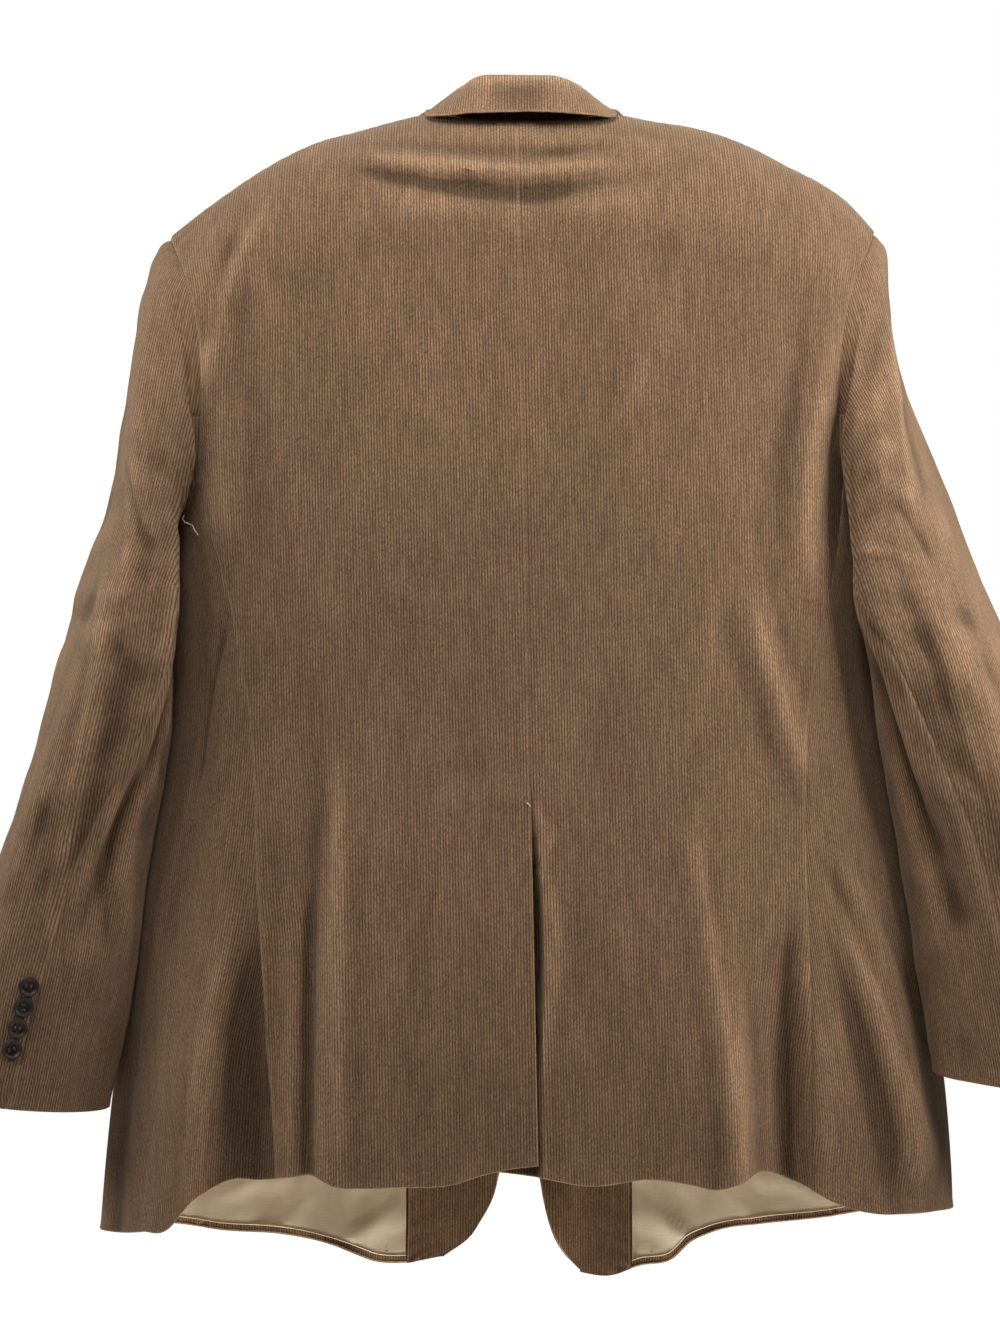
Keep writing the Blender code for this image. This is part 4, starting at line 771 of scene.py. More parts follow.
def sleeve_relief(side, ring, turn):
    """Creases and unevenness of a sleeve's cloth."""
    total = np.zeros(np.broadcast(ring, turn).shape)
    for crease in SLEEVE_CREASES:
        if crease.side != side:
            continue
        middle = (crease.angle + crease.to_angle) / 2
        near = (turn - middle + 180) % 360 - 180 + middle
        flat = Crease(
            crease.angle * DEGREE_LENGTH, crease.ring * RING_LENGTH, crease.to_angle * DEGREE_LENGTH,
            crease.to_ring * RING_LENGTH, 0.0, crease.minus, crease.plus, crease.height)
        total = total + crease_height((flat,), near * DEGREE_LENGTH, ring * RING_LENGTH)
    round_turn = np.radians(turn)
    spots = np.stack(np.broadcast_arrays(
        np.cos(round_turn) * SLEEVE_RADIUS, np.sin(round_turn) * SLEEVE_RADIUS,
        ring * RING_LENGTH + SIGN[side]), axis=-1)
    return (CREASE_STRENGTH * total + waves(spots, SLEEVE_WAVES)) * ease(ring)


def body(side, angle, drop):
    """Outside of the body at an angle and a drop: distance towards its own side, and back."""
    turn = np.radians(angle)
    half = HALF[side](drop)
    depth = np.where(angle < 90, BACK_DEPTH(drop), FRONT_DEPTH(drop))
    power = 2 / SECTION_POWER
    across = half * signed_power(np.sin(turn), power)
    back = depth * signed_power(np.cos(turn), power)
    below = np.clip((drop - SHOULDER[side](np.abs(across))) / SHOULDER_ROUND, 0, 1)
    back = back * np.sqrt(1 - (1 - below) ** 2)
    out = fold_height(side, np.abs(angle), drop) + fine_relief(side, angle, drop, across, back)
    out = out * ease(below / FOLD_SHOULDER)
    normal_x = signed_power(np.sin(turn), 2 - power) / half
    normal_y = signed_power(np.cos(turn), 2 - power) / depth
    length = np.hypot(normal_x, normal_y)
    return across + out * normal_x / length, back + out * normal_y / length


def centre(side, drop):
    """Distance of the centre back seam from the middle, towards a side."""
    return SIGN[side] * (CENTRE_START + CENTRE_LEAN * drop)


def neck_drop(across):
    """Drop of the back neck seam: an arc in plan, laid on the back."""
    arc = NECK_BACK * np.sqrt(np.clip(1 - (across / NECK_HALF) ** 2, 0, 1))
    share = np.clip(np.abs(across) / HALF["left"](0.0), 0, 1)
    depth = BACK_DEPTH(0.0) * (1 - share**SECTION_POWER) ** (1 / SECTION_POWER)
    rise = np.sqrt(1 - np.clip(arc / depth, 0, 1) ** 2)
    return SHOULDER["left"](np.abs(across)) + SHOULDER_ROUND * (1 - rise)


def place(side, across, back, drop):
    """World points of a piece, turned to its own side."""
    return np.stack([SIGN[side] * across, back, -drop], axis=-1)


def panel_drop(v, top, foot):
    """Drop of a row of the back or front."""
    above = np.clip(v / CORNER_ROW, 0, 1) ** SHOULDER_SPACING
    below = skirt_share(np.clip((v - CORNER_ROW) / (1 - CORNER_ROW), 0, 1))
    return top + (ARMHOLE_CORNER - top) * above + (foot - ARMHOLE_CORNER) * below


def skirt_share(v):
    """Share of the length below the armhole, with closer rows at the hem."""
    return 1 - (1 - v) ** HEM_SPACING


def back_share(side, u, v):
    """Where a column of the back lies between the centre seam and its outer edge."""
    neck_part = NECK_COLUMNS / BACK_COLUMNS
    neck_share = (NECK_HALF - centre(side, 0.0)) / (SHOULDER_HALF - centre(side, 0.0))
    even = neck_share * np.minimum(u / neck_part, 1)
    round_neck = neck_share * np.sin(0.5 * np.pi * np.minimum(u / neck_part, 1))
    neck = round_neck + (even - round_neck) * ease(v / CORNER_ROW)
    return neck + (1 - neck_share) * np.clip((u - neck_part) / (1 - neck_part), 0, 1)


def neck_bands(across, drop):
    """How far the folds under the collar move the back's cloth out."""
    total = 0.0
    for band in NECK_BANDS:
        middle = band.drop + band.rise * np.abs(across)
        total = total + band.height * bump((drop - middle) / band.width) * bump(across / band.reach)
    return total


def back_panel(side):
    """Back, from the centre seam to the side seam and from the neck to the hem."""
    def top_at(across):
        neck = np.abs(across) < NECK_HALF
        return np.where(neck, neck_drop(across), SHOULDER[side](np.abs(across)))

    def across_at(share, drop):
        inner = centre(side, drop) + 0.5 * SEAM_GAP
        return inner + (back_edge(side, drop) - 0.5 * SEAM_GAP - inner) * share

    def at(u, v):
        share = back_share(side, u, v)
        foot = HEM_DROP[side](angle_at(side, across_at(share, BACK_HEM), BACK_HEM))
        top = top_at(across_at(share, 0.0))
        across = across_at(share, panel_drop(v, top, foot))
        drop = panel_drop(v, top_at(across_at(share, top)), foot)
        middle = centre(side, drop)
        gape = VENT_GAPE * bump((drop - VENT_GAPE_DROP) / VENT_GAPE_LENGTH)
        gape = gape * bump((across - middle) / VENT_GAPE_WIDTH)
        wide = VENT_OPENING * bump((drop - VENT_OPENING_DROP) / VENT_OPENING_LENGTH)
        if side == "right":
            reach = VENT_UNDERLAP * ease((drop - VENT_TOP - FLAP_START) / FLAP_GROWTH)
            across = across - reach * (1 - u) ** FLAP_POWER
            under = ease((drop - VENT_TOP - STEP_START) / STEP_GROWTH)
            under = under * ease((middle + STEP_REACH + wide - across) / STEP_WIDTH)
            out = -(VENT_STEP + VENT_HOLLOW * wide / VENT_OPENING) * under
        else:
            out = gape
        x, y = body(side, angle_at(side, across, drop), drop)
        return place(side, x, y + out + neck_bands(across, drop), drop)
    return at


def side_span(side, drop):
    """Angles of the two seams of the side panel at a drop."""
    start = angle_at(side, BACK_SEAM[side](drop) + 0.5 * SEAM_GAP, drop)
    stop = 180 - angle_at(side, FRONT_SEAM(drop) + 0.5 * SEAM_GAP, drop)
    return start, stop


def armhole_floor(u):
    """Drop of the armhole over the side panel."""
    return ARMHOLE_BOTTOM - (ARMHOLE_BOTTOM - ARMHOLE_CORNER) * (2 * u - 1) ** 2


def side_panel(side):
    """Side, from the back seam to the front seam and from the armhole to the hem."""
    def at(u, v):
        foot_back = angle_at(side, BACK_SEAM[side](BACK_HEM), BACK_HEM)
        foot_front = 180 - angle_at(side, FRONT_SEAM(FRONT_HEM), FRONT_HEM)
        foot = HEM_DROP[side](foot_back + (foot_front - foot_back) * u)
        top = armhole_floor(u)
        drop = top + (foot - top) * skirt_share(v)
        start, stop = side_span(side, drop)
        x, y = body(side, start + (stop - start) * u, drop)
        return place(side, x, y, drop)
    return at


def front_point(side, across, drop):
    """Outside of the front at a distance from the middle."""
    x, y = body(side, 180 - angle_at(side, across, drop), drop)
    if side == "right":
        lap = ease((LAP_REACH - across) / LAP_WIDTH) * ease((drop - LAP_START) / LAP_GROWTH)
        y = y + FRONT_STEP * lap
    return x, y


def front_panel(side):
    """Front, from the side seam to its edge and from the shoulder to the hem."""
    facing_part = 1 - FACING_COLUMNS / FRONT_COLUMNS

    def across_at(u, drop, edge_drop):
        outer = front_side_edge(drop) - 0.5 * SEAM_GAP
        line = FRONT_EDGE[side](np.minimum(drop, FACING_FOOT)) + FACING_WIDTH
        inner = FRONT_EDGE[side](edge_drop)
        panel = outer + (line - outer) * np.minimum(u / facing_part, 1)
        return panel + (inner - line) * np.clip((u - facing_part) / (1 - facing_part), 0, 1)

    def at(u, v):
        foot_across = across_at(u, FRONT_HEM, FRONT_CORNER[side])
        foot = HEM_DROP[side](180 - angle_at(side, foot_across, FRONT_HEM))
        top = SHOULDER[side](across_at(u, 0.0, 0.0))
        drop = panel_drop(v, top, foot)
        across = across_at(u, drop, drop)
        drop = panel_drop(v, SHOULDER[side](across_at(u, top, top)), foot)
        x, y = front_point(side, across, drop)
        return place(side, x, y, drop)
    return at


def facing(side):
    """Facing, along the inside of the front's edge, on the front's own grid points."""
    front = front_panel(side)

    def at(u, v):
        first = FRONT_COLUMNS - FACING_COLUMNS + FACING_SETBACK
        last = FRONT_COLUMNS - FACING_SETBACK
        return front((first + (last - first) * u) / FRONT_COLUMNS, v)
    return at


def lining(side):
    """Lining of a front and of the half of the side panel next to it, on their own grid points."""
    front, panel = front_panel(side), side_panel(side)
    side_columns = SIDE_COLUMNS / 2
    rows = ROWS - LINING_TOP_ROW

    def at(u, v):
        last = FRONT_COLUMNS - FACING_COLUMNS - FACING_SETBACK
        column = -side_columns + (last + side_columns) * u
        row = LINING_TOP_ROW + rows * v - LINING_HEM_ROWS * np.clip(rows * (v - 1) + 1, 0, 1)
        on_front = front(np.maximum(column, 0) / FRONT_COLUMNS, row / ROWS)
        on_side = panel(np.minimum(column / SIDE_COLUMNS + 1, 1), (row - ARMHOLE_ROWS) / SKIRT_ROWS)
        return np.where((column >= 0)[..., None], on_front, on_side)
    return at


def lapel(side):
    """Lapel, from the roll line to its free edge and from the gorge to its lower end."""
    column = {name: smooth_curve(LAPEL, "along", name) for name in Lapel._fields}

    def at(u, v):
        roll_drop = column["roll_drop"](v)
        roll = FRONT_EDGE[side](roll_drop) + LAPEL_LIFT[side]
        drop = roll_drop + (column["edge_drop"](v) - roll_drop) * u
        across = roll + (column["edge"](v) - roll) * u
        x, y = front_point(side, across, drop)
        out = LAYER_GAP + LAPEL_WALL + LAPEL_LIFT[side] + LAPEL_ROLL * bump(u / 0.5)
        return place(side, x, y - out, drop)
    return at


def armhole_knots(side):
    """Points of the armhole edge: down the back, along the side panel and up the front."""
    steps = ARMHOLE_ROWS * KNOT_STEPS
    rows = np.arange(steps) / (ROWS * KNOT_STEPS)
    back = back_panel(side)(np.ones(steps), rows)
    columns = np.linspace(0, 1, SIDE_COLUMNS * KNOT_STEPS + 1)
    low = side_panel(side)(columns, np.zeros(len(columns)))
    front = front_panel(side)(np.zeros(steps - 1), rows[:0:-1])
    return np.concatenate([back, low, front, back[:1]])


KNOTS = {side: armhole_knots(side) for side in SIDES}


def armhole(side, knot):
    """Point just inside and beyond the armhole edge, by the number of its knot."""
    knots = KNOTS[side]
    last = len(knots) - 1
    step = (knot * KNOT_STEPS) % last
    edge = np.stack(
        [np.interp(step, np.arange(last + 1), knots[:, axis]) for axis in range(3)], axis=-1)
    middle = knots[:-1].mean(axis=0)
    inward = (middle - edge) * np.array([0.0, 1.0, 1.0])
    return edge + unit(inward) * SLEEVE_INSET + np.array([SIGN[side] * SLEEVE_STANDOFF, 0.0, 0.0])


def sleeve_fold_height(side, ring, turn):
    """How far the folds move a sleeve's cloth out."""
    total = sleeve_relief(side, ring, turn)
    for fold in SLEEVE_FOLDS:
        if fold.side != side:
            continue
        along = (ring - fold.top) / (fold.foot - fold.top)
        line = fold.top_angle + (fold.foot_angle - fold.top_angle) * np.clip(along, 0, 1)
        off = (turn - line + 180) % 360 - 180
        reach = np.where(off < 0, fold.reach_up, fold.reach_down)
        fade = ease(along * SLEEVE_FOLD_END) * ease((1 - along) * SLEEVE_FOLD_END)
        total = total + fold.height * fade * bump(off / reach)
    return total


RingAt = namedtuple("RingAt", ("ring",) + Ring._fields)


def ring_columns(side):
    """Smooth functions of the ring number for each column of a sleeve's table."""
    numbered = [RingAt(index + 1.0, *ring) for index, ring in enumerate(SLEEVE_RINGS[side])]
    first = SLEEVE_RINGS[side][0]
    start = first._replace(
        outer=first.outer - FIRST_RING_REACH, outer_drop=first.outer_drop - FIRST_RING_DROP,
        hind=ARMHOLE_HIND, fore=ARMHOLE_FORE)
    numbered.insert(0, RingAt(0.0, *start))
    return {name: smooth_curve(numbered, "ring", name) for name in Ring._fields}


RINGS = {side: ring_columns(side) for side in SIDES}
LAST_RING = len(SLEEVE_RINGS["left"])
OVERHANG = {side: smooth_curve(OVERHANGS, "ring", side) for side in SIDES}


def body_wall(side, y, drop):
    """Distance of the body's side from the middle where it is y back, and the armhole drop there."""
    depth = np.where(y > 0, BACK_DEPTH(drop), FRONT_DEPTH(drop))
    share = np.clip(np.abs(y) / depth, 0, WALL_REACH) ** SECTION_POWER
    wall = HALF[side](drop) * (1 - share) ** (1 / SECTION_POWER)
    angle = np.degrees(np.arccos(np.sqrt(share)))
    angle = np.where(y > 0, angle, 180 - angle)
    start, stop = side_span(side, drop)
    return wall, armhole_floor(np.clip((angle - start) / (stop - start), 0, 1))


def sleeve_point(side, turn, ring, knot):
    """Outside of a sleeve: turn 0 is outermost, 90 the back, 180 innermost."""
    column = {name: curve(ring) for name, curve in RINGS[side].items()}
    out = sleeve_fold_height(side, ring, turn)
    cosine, sine = np.cos(np.radians(turn)), np.sin(np.radians(turn))
    half_span = (column["outer"] - column["inner"]) / 2
    slide = column["skew"] * column["depth"]
    half = np.sqrt(np.maximum(half_span**2 - slide**2, SLEEVE_THINNEST**2))
    start = OVERHANG_START + OVERHANG_STEP * ring
    stop = np.minimum(OVERHANG_FULL + OVERHANG_STEP * ring, OVERHANG_TURN)
    near = np.where(
        turn < OVERHANG_TURN, ease((turn - start) / (stop - start)),
        bump((turn - OVERHANG_TURN) / OVERHANG_INNER))
    hang = OVERHANG[side](ring) * near
    out = out + OVERHANG_RISE * hang / OVERHANG_MOST
    x = column["inner"] + half_span + (half + out) * cosine + slide * sine - hang
    y = column["back_shift"] + (column["depth"] + out) * sine
    half_slope = (column["outer_drop"] - column["inner_drop"]) / 2
    droop = CUFF_DROOP * ease(ring - LAST_RING + 1) * sine
    drop = column["inner_drop"] + half_slope + half_slope * cosine + droop
    # the first ring is the armhole seam itself
    seam = armhole(side, knot)
    join = ease(ring)
    x = seam[..., 0] * SIGN[side] + (x - seam[..., 0] * SIGN[side]) * join
    y = seam[..., 1] + (y - seam[..., 1]) * join
    drop = -seam[..., 2] + (drop + seam[..., 2]) * join
    # below the armhole the sleeve lies against the body without touching it
    wall, floor = body_wall(side, y, drop)
    below = ease((drop - floor) / SLEEVE_PUSH_START + 1)
    least = wall + SLEEVE_START + SLEEVE_CLEARANCE * ease((drop - floor) / SLEEVE_PUSH_GROWTH)
    short = least - x
    push = 0.5 * (short + np.hypot(short, SLEEVE_SOFTNESS))
    return place(side, x + push * below, y, drop)


def upper_sleeve(side):
    """Upper sleeve, from the fore seam over the outside to the hind seam."""
    loop = (len(KNOTS[side]) - 1) // KNOT_STEPS

    def at(u, v):
        ring = LAST_RING * v**RING_SPACING
        fore = RINGS[side]["fore"](ring) - 360 + SLEEVE_SEAM_TURN
        hind = RINGS[side]["hind"](ring) - SLEEVE_SEAM_TURN
        first, last = FORE_KNOT - loop + SLEEVE_SEAM_KNOT, HIND_KNOT - SLEEVE_SEAM_KNOT
        knot = first + (last - first) * u
        return sleeve_point(side, fore + (hind - fore) * u, ring, knot)
    return at


def under_sleeve(side):
    """Under sleeve, from the hind seam past the body to the fore seam."""
    def at(u, v):
        ring = LAST_RING * v**RING_SPACING
        fore = RINGS[side]["fore"](ring) - SLEEVE_SEAM_TURN
        hind = RINGS[side]["hind"](ring) + SLEEVE_SEAM_TURN
        first, last = HIND_KNOT + SLEEVE_SEAM_KNOT, FORE_KNOT - SLEEVE_SEAM_KNOT
        knot = first + (last - first) * u
        return sleeve_point(side, hind + (fore - hind) * u, ring, knot)
    return at


def near_armhole(across, down):
    """How much of a sleeve's top is smoothed: less near its seams and over its middle."""
    inside = ease(np.minimum(across, 1 - across) / SOFT_SIDES)
    inside = inside * ease(np.abs(across - SOFT_TOP) / SOFT_MIDDLE)
    ending = ease((down - 0.5 * SOFT_STOP) / (0.5 * SOFT_STOP))
    return inside * ease(down / SOFT_START) * (1 - ending)


def sleeve_lie(side, line, way):
    """Where points lie across the wales of a sleeve, from its outermost or innermost line."""
    rings = np.arange(LAST_RING + 1.0)
    across, drops, backs = (RINGS[side][name](rings) for name in (line, line + "_drop", "back_shift"))

    def at(points):
        drop = -points[..., 2]
        back = points[..., 1] - np.interp(drop, drops, backs)
        away = way * (np.interp(drop, drops, across) - SIGN[side] * points[..., 0])
        return SLEEVE_GRAIN * np.tanh(back / SLEEVE_GRAIN) + np.clip(back / SLEEVE_TURN, -1, 1) * away
    return at


def neck_edge(angle):
    """Edge of the neck opening: the back's arc behind, the fronts' roll line before."""
    turn = np.radians(np.minimum(angle, 90))
    back_x, back_y = NECK_HALF * np.sin(turn), NECK_BACK * np.cos(turn)
    back = np.stack([back_x, back_y, -neck_drop(back_x)], axis=-1)
    top = SHOULDER["left"](NECK_HALF)
    along = np.clip((angle - 90) / (COLLAR_END - 90), 0, 1)
    drop = top + (GORGE_DROP - top) * along**GORGE_SPACING
    x, y = front_point("left", FRONT_EDGE["left"](drop), drop)
    front = np.stack([x, y, -drop], axis=-1)
    edge = np.where((angle <= 90)[..., None], back, front)
    inward = np.stack([-np.sin(turn), -np.cos(turn), np.zeros_like(turn)], axis=-1)
    return edge + inward * COLLAR_INSET + np.array([0.0, 0.0, COLLAR_RISE])


def clear_of_body(points, gap):
    """Points moved out, where they are nearer than a gap to the shoulder, chest or back."""
    x, y, z = np.abs(points[..., 0]), points[..., 1], points[..., 2]
    share = np.clip(x / HALF["left"](-z), 0, 1) ** SECTION_POWER
    depth = np.where(y > 0, BACK_DEPTH(-z), FRONT_DEPTH(-z)) * (1 - share) ** (1 / SECTION_POWER)
    height = np.maximum(SHOULDER["right"](x) + SHOULDER_ROUND + z, 0)
    away = np.hypot(y, height)
    ratio = np.hypot(y / depth, height / SHOULDER_ROUND)
    short = np.maximum(gap - away * (1 - 1 / ratio), 0)
    return points + np.stack([np.zeros_like(y), y, height], axis=-1) * (short / away)[..., None]


def collar_surface(u, v):
    """Collar, from the right end to the left end and from its seam over the fold to its edge."""
    angle = (2 * u - 1) * COLLAR_END
    column = {name: smooth_curve(COLLAR, "angle", name)(np.abs(angle)) for name in Collar._fields}
    seam = neck_edge(np.abs(angle))
    fold = np.stack([column["fold_x"], column["fold_y"], column["fold_z"]], axis=-1)
    edge = np.stack([column["edge_x"], column["edge_y"], column["edge_z"]], axis=-1)
    # two straight legs and a round turn over the fold between them
    up = unit(fold - (seam + edge) / 2)
    away = edge - seam
    away = unit(away - up * np.sum(away * up, axis=-1, keepdims=True))
    part = v[..., None]
    rise = 1 - np.abs(part - 0.5) / 0.5
    lean = np.sin(0.5 * np.pi * np.clip((part - 0.5) / COLLAR_TURN_SHARE, -1, 1))
    foot = np.where(part < 0.5, seam, edge)
    base = foot + (fold - foot) * rise
    points = base + (away * lean * rise - up * (1 - np.sqrt(1 - lean**2))) * COLLAR_TURN * 0.5
    points = np.where(part > 0.5, clear_of_body(points, COLLAR_CLEARANCE), points)
    return points * np.stack([np.where(angle < 0, -1.0, 1.0), np.ones_like(u), np.ones_like(u)], -1)


def behind_shoulder_seam(points):
    """Keep the points of a back behind the shoulder seam."""
    points[:, 1] = np.maximum(points[:, 1], 0.5 * SEAM_GAP)
    return points


def before_shoulder_seam(points):
    """Keep the points of a front before it."""
    points[:, 1] = np.minimum(points[:, 1], -0.5 * SEAM_GAP)
    return points


def back_grain(side):
    """Where a row of the back lies across its wales, which hang straight down."""
    def at(x, drop):
        across = SIGN[side] * x
        return arc_length(side, angle_at(side, across, drop), drop) - centre(side, drop)
    return at


def front_grain(side):
    """The same for a front, from the middle of the chest."""
    def at(x, drop):
        return arc_length(side, angle_at(side, SIGN[side] * x, drop), drop)
    return at


def lining_relief(side):
    """Slack of the lining, which only ever hangs away from the cloth."""
    def at(across, down, points):
        slack = waves(points * [SIGN[side], 1.0, 1.0] @ LINING_LEAN, LINING_WAVES)
        return np.minimum(slack - LINING_SLACK * LINING_WAVES[0].height, 0.0)
    return at


def collar_relief(across, down, points):
    """Unevenness of the collar."""
    return waves(points, COLLAR_WAVES) * ease(down / COLLAR_WAVE_START)


def spaced(surface, axis, spacing):
    """Steps from 0 to 1 that lie a spacing apart on a surface, and closer at its edges."""
    steps = np.linspace(0.0, 1.0, SPACING_STEPS)
    longest = np.zeros(SPACING_STEPS - 1)
    for share in SPACING_LINES:
        other = np.full(SPACING_STEPS, share)
        points = surface(steps, other) if axis == 0 else surface(other, steps)
        longest = np.maximum(longest, np.linalg.norm(np.diff(points, axis=0), axis=-1))
    lengths = np.concatenate([[0.0], np.cumsum(longest)])
    first = np.array(EDGE_MARKS)
    inner = np.arange(first[-1] + spacing, lengths[-1] - first[-1] - spacing / 2, spacing)
    marks = np.concatenate([first, inner, lengths[-1] - first[::-1]])
    return np.interp(marks, lengths, steps)


def grid_normals(points):
    """Normals of a grid of points."""
    return unit(np.cross(np.gradient(points, axis=0), np.gradient(points, axis=1)))


def run_lengths(points, axis):
    """Distance of each point from the start of its row or column."""
    lengths = np.linalg.norm(np.diff(points, axis=axis), axis=-1)
    start = np.zeros_like(np.take(lengths, [0], axis=axis))
    return np.concatenate([start, np.cumsum(lengths, axis=axis)], axis=axis)


def edge_weight(kind, wanted, drop):
    """Where along an edge it is of a kind: one kind, or two that change at a drop."""
    if isinstance(kind, str):
        return float(kind == wanted)
    upper, lower, change = kind
    below = ease((drop - change) / KIND_CHANGE)
    return (upper == wanted) * (1 - below) + (lower == wanted) * below


def edge_relief(points, edges):
    """Seam dips, puckers and rounded edges of a grid, and the distance to its nearest edge."""
    across, down = run_lengths(points, 0), run_lengths(points, 1)
    far_across, far_down = across[-1:] - across, down[:, -1:] - down
    runs = ((across, down), (far_across, down), (down, across), (far_down, across))
    total, nearest = np.zeros(across.shape), np.full(across.shape, NEAR_EDGE)
    for number, (kind, (gone, along)) in enumerate(zip(edges, runs)):
        seam = edge_weight(kind, "seam", -points[..., 2])
        fold = edge_weight(kind, "fold", -points[..., 2])
        dip = -SEAM_DIP * np.exp(-((gone / SEAM_REACH) ** 2))
        drift = PUCKER_DRIFT * np.sin(along / PUCKER_DRIFT_LENGTH + number)
        beat = along / PUCKER_LENGTH + drift + number
        strength = 0.5 + 0.5 * np.sin(along / PUCKER_CHANGE + 2.0 * number)
        pucker = PUCKER_HEIGHT * strength * np.sin(2 * math.pi * beat) * np.exp(-gone / PUCKER_REACH)
        total = total + seam * (dip + pucker * ease(gone / SEAM_REACH))
        inward = np.clip(1 - gone / EDGE_ROUND, 0, 1)
        swell = EDGE_SWELL * bump((gone - EDGE_ROUND) / EDGE_SWELL_REACH)
        total = total + fold * (swell - EDGE_ROUND * (1 - np.sqrt(1 - inward**2)))
        nearest = np.minimum(nearest, np.where(seam + fold > 0.5, gone, NEAR_EDGE))
    return total, nearest


def outward_way(points):
    """1 where the columns of a grid run away from the middle, -1 where they run towards it."""
    across = np.abs(points[:, points.shape[1] // 2, 0])
    return 1.0 if across[-1] > across[0] else -1.0


def blurred(values, reach):
    """Values of a grid, each averaged with its neighbours both ways, again and again."""
    for _ in range(reach):
        for axis in (0, 1):
            length = values.shape[axis]
            before = np.take(values, np.maximum(np.arange(length) - 1, 0), axis=axis)
            after = np.take(values, np.minimum(np.arange(length) + 1, length - 1), axis=axis)
            values = 0.25 * before + 0.5 * values + 0.25 * after
    return values


def crests(points, normals):
    """How far each point stands out from the cloth round it: above 0 on a crest, below in a hollow."""
    out = np.sum((points - blurred(points, CREST_REACH)) * normals, axis=-1)
    inner = (slice(CREST_EDGE, -CREST_EDGE),) * 2
    crest = np.pad((out - blurred(out, 3 * CREST_REACH))[inner], CREST_EDGE, mode="edge")
    return blurred(crest, CREST_FINISH)


def quads(columns, rows, start, turned):
    """Faces of a grid of points."""
    corner = np.arange((columns - 1) * rows).reshape(columns - 1, rows)[:, :-1].ravel() + start
    faces = np.stack([corner, corner + rows, corner + rows + 1, corner + 1], axis=-1)
    return faces[:, ::-1] if turned else faces


def rim_faces(columns, rows, turned):
    """Faces between the outer and the inner layer, round the edge of the grid."""
    grid = np.arange(columns * rows).reshape(columns, rows)
    loop = np.concatenate([grid[:-1, 0], grid[-1, :-1], grid[:0:-1, -1], grid[0, :0:-1]])
    after, inner = np.roll(loop, -1), columns * rows
    faces = np.stack([loop, loop + inner, after + inner, after], axis=-1)
    return faces[:, ::-1] if turned else faces


def across_wales(points, u, anchor, grain, lie):
    """How far each point of a cloth lies across its wales."""
    if lie:
        return lie(points)
    width = run_lengths(points, 0)
    width = width - np.array([np.interp(anchor, u, row) for row in width.T])
    if grain:
        spots = np.array([np.interp(anchor, u, row) for row in points[..., 0].T])
        width = width * outward_way(points) + grain(spots, -points[len(u) // 2, :, 2])
        direct = grain(points[..., 0], -points[..., 2])
        width = direct + (width - direct) * ease((-points[..., 2] - GRAIN_TOP) / GRAIN_CHANGE)
    return width


def declare_sheet(points, width):
    """Measure a cloth's flat size and cell areas along its surface, without declaring or keeping them.
    """
    cells = np.cross(np.diff(points, axis=0)[:, :-1], np.diff(points, axis=1)[:-1])
    widest = float(max(np.ptp(width), run_lengths(points, 0).max()))


def lay_cloth(name, surface, edges, wall, outward, materials, lift=0.0, limit=None, anchor=0.5,
              spacing=0.005, grain=None, lie=None, soften=None, extra=None):
    """A wall of cloth on a surface: its outer layer with seams and edges, and its inner layer."""
    u, v = spaced(surface, 0, spacing), spaced(surface, 1, spacing)
    columns, rows = len(u), len(v)
    across, down = np.meshgrid(u, v, indexing="ij")
    points = surface(across, down)
    if soften:
        calm = blurred(points, SOFTENING)
        points = points + (calm - points) * soften(across, down)[..., None]
    normals = grid_normals(points) * outward
    relief, nearest = edge_relief(points, edges)
    crest = crests(points, normals)
    if extra:
        relief = relief + extra(across, down, points)
    outer = points + normals * (relief + lift)[..., None]
    # the wall is thinner where the cloth turns sharply, so that it seldom cuts through itself
    inner = outer - blurred(grid_normals(outer) * outward, INNER_SOFTNESS) * wall
    if limit:
        outer = limit(outer.reshape(-1, 3)).reshape(outer.shape)
        inner = limit(inner.reshape(-1, 3)).reshape(inner.shape)
    turned = outward < 0
    faces = np.concatenate([
        quads(columns, rows, 0, turned), quads(columns, rows, columns * rows, not turned),
        rim_faces(columns, rows, turned)])
    corners = np.concatenate([outer.reshape(-1, 3), inner.reshape(-1, 3)])
    mesh = bpy.data.meshes.new(name)
    mesh.from_pydata(corners.tolist(), [], faces.tolist())
    # lengths along the cloth, which its wales and weave follow
    width, length = across_wales(points, u, anchor, grain, lie), run_lengths(points, 1)
    flat = np.tile(np.stack([width, length], axis=-1).reshape(-1, 2), (2, 1))
    corner = np.empty(len(mesh.loops), dtype=np.int32)
    mesh.loops.foreach_get("vertex_index", corner)
    mesh.uv_layers.new(name="cloth").data.foreach_set("uv", flat[corner].ravel())
    for mark, values in (("rim", nearest), ("crest", crest)):
        layer = mesh.attributes.new(mark, "FLOAT", "POINT")
        layer.data.foreach_set("value", np.tile(values.ravel(), 2))
    # the inner layer is lined, but for the turned-up hem
    slots = np.zeros(len(faces), dtype=np.int32)
    outer_faces = (columns - 1) * (rows - 1)
    above_hem = np.tile(length[:1, -1:] - length[:1, :-1], (columns - 1, 1)).ravel()
    slots[outer_faces:2 * outer_faces] = np.where(above_hem > HEM_TURN, len(materials) - 1, 0)
    for finish in materials:
        mesh.materials.append(finish)
    mesh.polygons.foreach_set("material_index", slots)
    piece = show(name, mesh)
    declare_sheet(points, width)
    return piece


def show(name, mesh):
    """Put a mesh in the scene as a piece of the jacket."""
    mesh.shade_smooth()
    mesh.set_sharp_from_angle(angle=math.radians(SOFT_EDGE))
    piece = bpy.data.objects.new(name, mesh)
    bpy.context.scene.collection.objects.link(piece)
    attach(piece, "root")
    return piece


